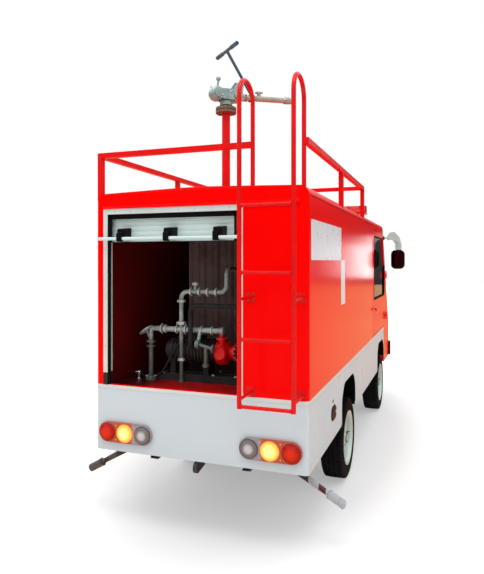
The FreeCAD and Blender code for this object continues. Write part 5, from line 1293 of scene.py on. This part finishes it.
def monitor_trim():
    """Nuts on the flange and the riser's foot, bolts on the head, nozzle rings and handle grips."""
    nuts = bmesh.new()
    for (x, y), (foot_x, foot_y) in zip(circle(6, 0.060, 0.25), circle(6, 0.062, 0.25)):
        hexagon(nuts, (RISER.x + x, y, FLANGE_Z + 0.0222), UP, 0.021, 0.0055, 0.012)
        hexagon(nuts, (RISER.x + x, y, FLANGE_Z - 0.0182), DOWN, 0.021, 0.005, 0.012)
        foot = (RISER.x + foot_x, foot_y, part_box("box_roof")[1].z + 0.0135)
        hexagon(nuts, foot, UP, 0.014, 0.008, 0.011)
    piece("flange_nuts", nuts, "flange_brown", bevel=0.0005)
    caps = bmesh.new()
    for side in (1, -1):
        out = aimed((0, side, 0)) - aimed((0, 0, 0))
        hexagon(caps, aimed((TRUNNION, side * 0.066, MONITOR_Z)), out, 0.030, 0.010, 0.022)
        for dx, dz in ((-0.125, -0.008), (-0.060, 0.020), (0.028, 0.086), (0.035, -0.022)):
            hexagon(caps, aimed((TRUNNION + dx, side * 0.054, MONITOR_Z + dz)), out, 0.013, 0.006, 0.009)
    for a, b in circle(6, 0.039):
        hexagon(caps, aimed((a, b, FLANGE_Z + 0.0701)), UP, 0.008, 0.005)
    lathe(caps, [(0, 0.006), (0.006, 0.006), (0.009, 0.0035), (0.014, 0.0045), (0.017, 0.002), (0.017, 0)],
          aimed((-0.120, 0, MONITOR_Z + 0.044)), UP, 12)
    piece("head_bolts", caps, "zinc", "steel_pipe", body="monitor_head", bevel=0.0005)
    rings = bmesh.new()
    along = (lifted((1, 0, MONITOR_Z)) - lifted((0, 0, MONITOR_Z))).normalized()
    for start, radius in ((0.160, 0.0285), (BARREL_END - 0.075, 0.0275), (BARREL_END - 0.050, 0.0268),
                          (BARREL_END - 0.012, 0.0260)):
        lathe(rings, [(0, radius - 0.006), (0, radius), (0.0075, radius), (0.009, radius - 0.0015),
                      (0.009, radius - 0.006)],
              lifted((start, 0, MONITOR_Z)), along, 32)
    piece("nozzle_rings", rings, "barrel_bronze", body="monitor_barrel")
    grips = bmesh.new()
    bar = (lifted((0, 1, MONITOR_Z)) - lifted((0, 0, MONITOR_Z))).normalized()
    for side in (1, -1):
        start = lifted((GRIP[0], side * 0.168, GRIP[1]))
        profile = [(0.004, 0.0), (0.004, 0.010)]
        for k in range(12):
            profile += [(d - 0.008 * k, r) for d, r in ((0.0, 0.0150), (-0.005, 0.0150), (-0.006, 0.0138),
                                                        (-0.0075, 0.0138))]
        lathe(grips, profile + [(-0.100, 0.0120)], start, bar * side, 20)
    piece("handle_grips", grips, "handle_slate", body="monitor_barrel")


def roof_trim():
    """Ribs and bolts of the light bar, and the body's joint strips."""
    low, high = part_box("light_bar")
    x, base = (low.x + high.x) / 2, high.z - 0.080
    ribs = bmesh.new()
    profile = [(-0.0795, -0.004), (0.0795, -0.004), (0.0665, 0.0790), (-0.0665, 0.0790)]
    for k in range(-4, 5):
        y = 0.132 * k
        edge = flat_loop([(a * 1.006, b * 1.005) for a, b in profile], 0.022)
        core = [(a * 0.95, b * 0.95) for a, b in flat_loop(profile, 0.022)]
        band(ribs, edge, core, (x, y + (0.0045 if k else 0.012), base), AHEAD, UP, 0.009 if k else 0.024)
    piece("bar_ribs", ribs, "plastic_black", bevel=0.0008)
    bolts = bmesh.new()
    for y in (-0.42, 0.42):
        for dx in (-0.055, 0.055):
            dome(bolts, (x + dx, y, base - 0.006), UP, 0.006, 0.004)
            hexagon(bolts, (x + dx * 0.55, y + 0.0255, 2.335), LEFT, 0.012, 0.006, 0.009)
    piece("bar_bolts", bolts, "zinc", "rim_silver")
    strips = bmesh.new()
    for side in (1, -1):
        y = side * (HALF + 0.0002)
        block(strips, (REAR + 0.03, y - 0.0012, EAVE + 0.0005), (CAB - 0.001, y + 0.0012, EAVE + 0.0035))
    block(strips, (CAB - 0.004, -HALF - 0.0010, BELT + 0.010), (CAB + 0.001, HALF + 0.0010, BELT + 0.011))
    piece("joint_strips", strips, "rubber_black")


# ------------------------------------------------------------- under the body
def chassis_trim():
    """U-bolts on the springs and rivets on the rails."""
    bolts = bmesh.new()
    for x, _, seat in (WHEELS["rl"], WHEELS["fl"]):
        for side in (1, -1):
            for dx in (-0.046, 0.046):
                y0, y1 = side * 0.300, side * 0.362
                path = smooth_path([(x + dx, y0, seat - 0.070), (x + dx, y0, seat + 0.098),
                                    (x + dx, y1, seat + 0.098),
                                    (x + dx, y1, seat - 0.070)], 0.012)
                sweep(bolts, path, 0.0065, 8)
                for y in (y0, y1):
                    hexagon(bolts, (x + dx, y, seat - 0.056), DOWN, 0.018, 0.010, 0.013)
    low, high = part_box("frame_rails")
    for side in (1, -1):
        for k in range(24):
            x = low.x + 0.10 + (high.x - low.x - 0.20) * k / 23
            dome(bolts, (x, side * high.y, 0.560), LEFT * side, 0.009, 0.005)
            if k % 2:
                dome(bolts, (x, side * high.y, 0.515), LEFT * side, 0.009, 0.005)
    piece("chassis_bolts", bolts, "chassis_black")


def battery_trim():
    """Bolts round the battery's lid and the straps that carry it."""
    low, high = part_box("battery_pack")
    lid = bmesh.new()
    for k in range(12):
        x = low.x + 0.05 + (high.x - low.x - 0.10) * k / 11
        for side in (1, -1):
            hexagon(lid, (x, side * high.y, high.z - 0.020), LEFT * side, 0.013, 0.006, 0.009)
    for x in (low.x + 0.20, (low.x + high.x) / 2, high.x - 0.20):
        block(lid, (x - 0.022, low.y - 0.003, low.z - 0.003), (x + 0.022, high.y + 0.003, low.z + 0.0005))
        for side in (1, -1):
            y = side * (high.y + 0.0015)
            block(lid, (x - 0.022, y - 0.0015, low.z - 0.003), (x + 0.022, y + 0.0015, high.z - 0.045))
    piece("battery_straps", lid, "zinc", "rim_silver", bevel=0.0006)


def arch(tag, foot, y, lift=0.0):
    """A wheel arch's line from foot to foot, on the wheel's side, or a little inside it."""
    centre = WHEELS[tag]
    half, top = ARCH_HALF - lift, ARCH_TOP - lift
    line = [(-half, foot), (-half, ARCH_SHOULDER), (0.110 - half, top), (half - 0.110, top),
            (half, ARCH_SHOULDER), (half, foot)]
    y = math.copysign(y, centre.y)
    return smooth_path([(centre.x + x, y, z) for x, z in line], 0.075)


def side_trim():
    """Screws on the board and the charge lid, the lid's catch and its gasket."""
    screws = bmesh.new()
    for x in (back(0.080), back(0.405), back(0.735), back(1.060)):
        for z in (1.838, 2.058):
            dome(screws, (x, -HALF - 0.0024, z), RIGHT, 0.0042, 0.0018, 10)
    low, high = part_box("charge_lid")
    middle = (low.z + high.z) / 2
    for dz in (-0.018, 0.018):
        dome(screws, (low.x + 0.012, low.y, middle + dz), RIGHT, 0.003, 0.0015, 8)
    lathe(screws, [(0, 0.010), (0.002, 0.010), (0.003, 0.008), (0.003, 0.003), (0.0015, 0.0028), (0.0015, 0)],
          (high.x - 0.024, low.y, middle), RIGHT, 20)
    piece("side_screws", screws, "zinc", "rim_silver")
    gasket = bmesh.new()
    ring = [((low.x + high.x) / 2 + a, -HALF - 0.0005, middle + b)
            for a, b in rounded_outline(high.x - low.x + 0.008, high.z - low.z + 0.008, 0.0495)]
    bead(gasket, [Vector(p) for p in ring], RIGHT, 0.003, 0.0025)
    piece("lid_gasket", gasket, "rubber_black", crease=60)


def arch_trim():
    """Rubber lips and thin black liners of the wheel arches."""
    lips = bmesh.new()
    for tag in WHEEL_TAGS[2:] + WHEEL_TAGS[:2]:
        sweep(lips, arch(tag, 0.560, HALF - 0.004), 0.0045, 8)
    piece("arch_lips", lips, "rubber_black")
    for tag in WHEEL_TAGS[2:] + WHEEL_TAGS[:2]:
        foot = 0.530 if tag[0] == "r" else 0.605
        liner = bmesh.new()
        rows = [[liner.verts.new(p) for p in arch(tag, foot, y, lift)]
                for lift in LINER_LIFTS for y in LINER_Y]
        for one, two in ((0, 1), (1, 3), (3, 2), (2, 0)):
            for k in range(len(rows[0]) - 1):
                liner.faces.new((rows[one][k], rows[one][k + 1], rows[two][k + 1], rows[two][k]))
        for k in (0, -1):
            liner.faces.new((rows[0][k], rows[1][k], rows[3][k], rows[2][k]))
        piece("arch_liner_" + tag, liner, "plastic_black")


def mirror_trim():
    """The mirrors' glass, facing back, and the screws of their clamps."""
    glass, screws = bmesh.new(), bmesh.new()
    x = HINGE_X + 0.152
    for side in (1, -1):
        centre = Vector((x, side * (HALF + 0.152), MIRROR_TOP - 0.126))
        plate(glass, rounded_outline(0.150, 0.226, 0.052), centre, RIGHT, UP, 0.0012)
        for dz in (0.020, 0.048):
            hexagon(screws, Vector((x - 0.0045, side * (HALF + 0.118), MIRROR_TOP + dz)), BEHIND, 0.009,
                    0.005, 0.007)
    piece("mirror_glass", glass, "mirror_glass", "mirror_plastic", bevel=0.0004)
    piece("mirror_screws", screws, "zinc", "rim_silver")


def main():
    """The camera, the studio and the finishes, then every piece in turn."""
    camera()
    stage_and_light()
    finishes()
    clear_finishes()
    for name, obj in NODES.items():
        obj.data.materials.clear()
        obj.data.materials.append(LOOK[OWN_LOOKS.get(name, SLOTS[name])])
    for tag in WHEEL_TAGS:
        tyre(tag)
        wheel_trim(tag)
    for trim in (tail_lamps, shutter_trim, hook_blocks, pipe_nuts, pump_bolts, motor_cable, drain_valve,
                 ladder_trim, signs, side_lock, cab_glazing, wipers, headlamps, nose_trim, door_trim,
                 dash_face, pedals, console_and_levers, cab_linings, steering_trim, seat_pads, monitor_trim,
                 roof_trim, chassis_trim, battery_trim, side_trim, arch_trim, mirror_trim):
        trim()


main()
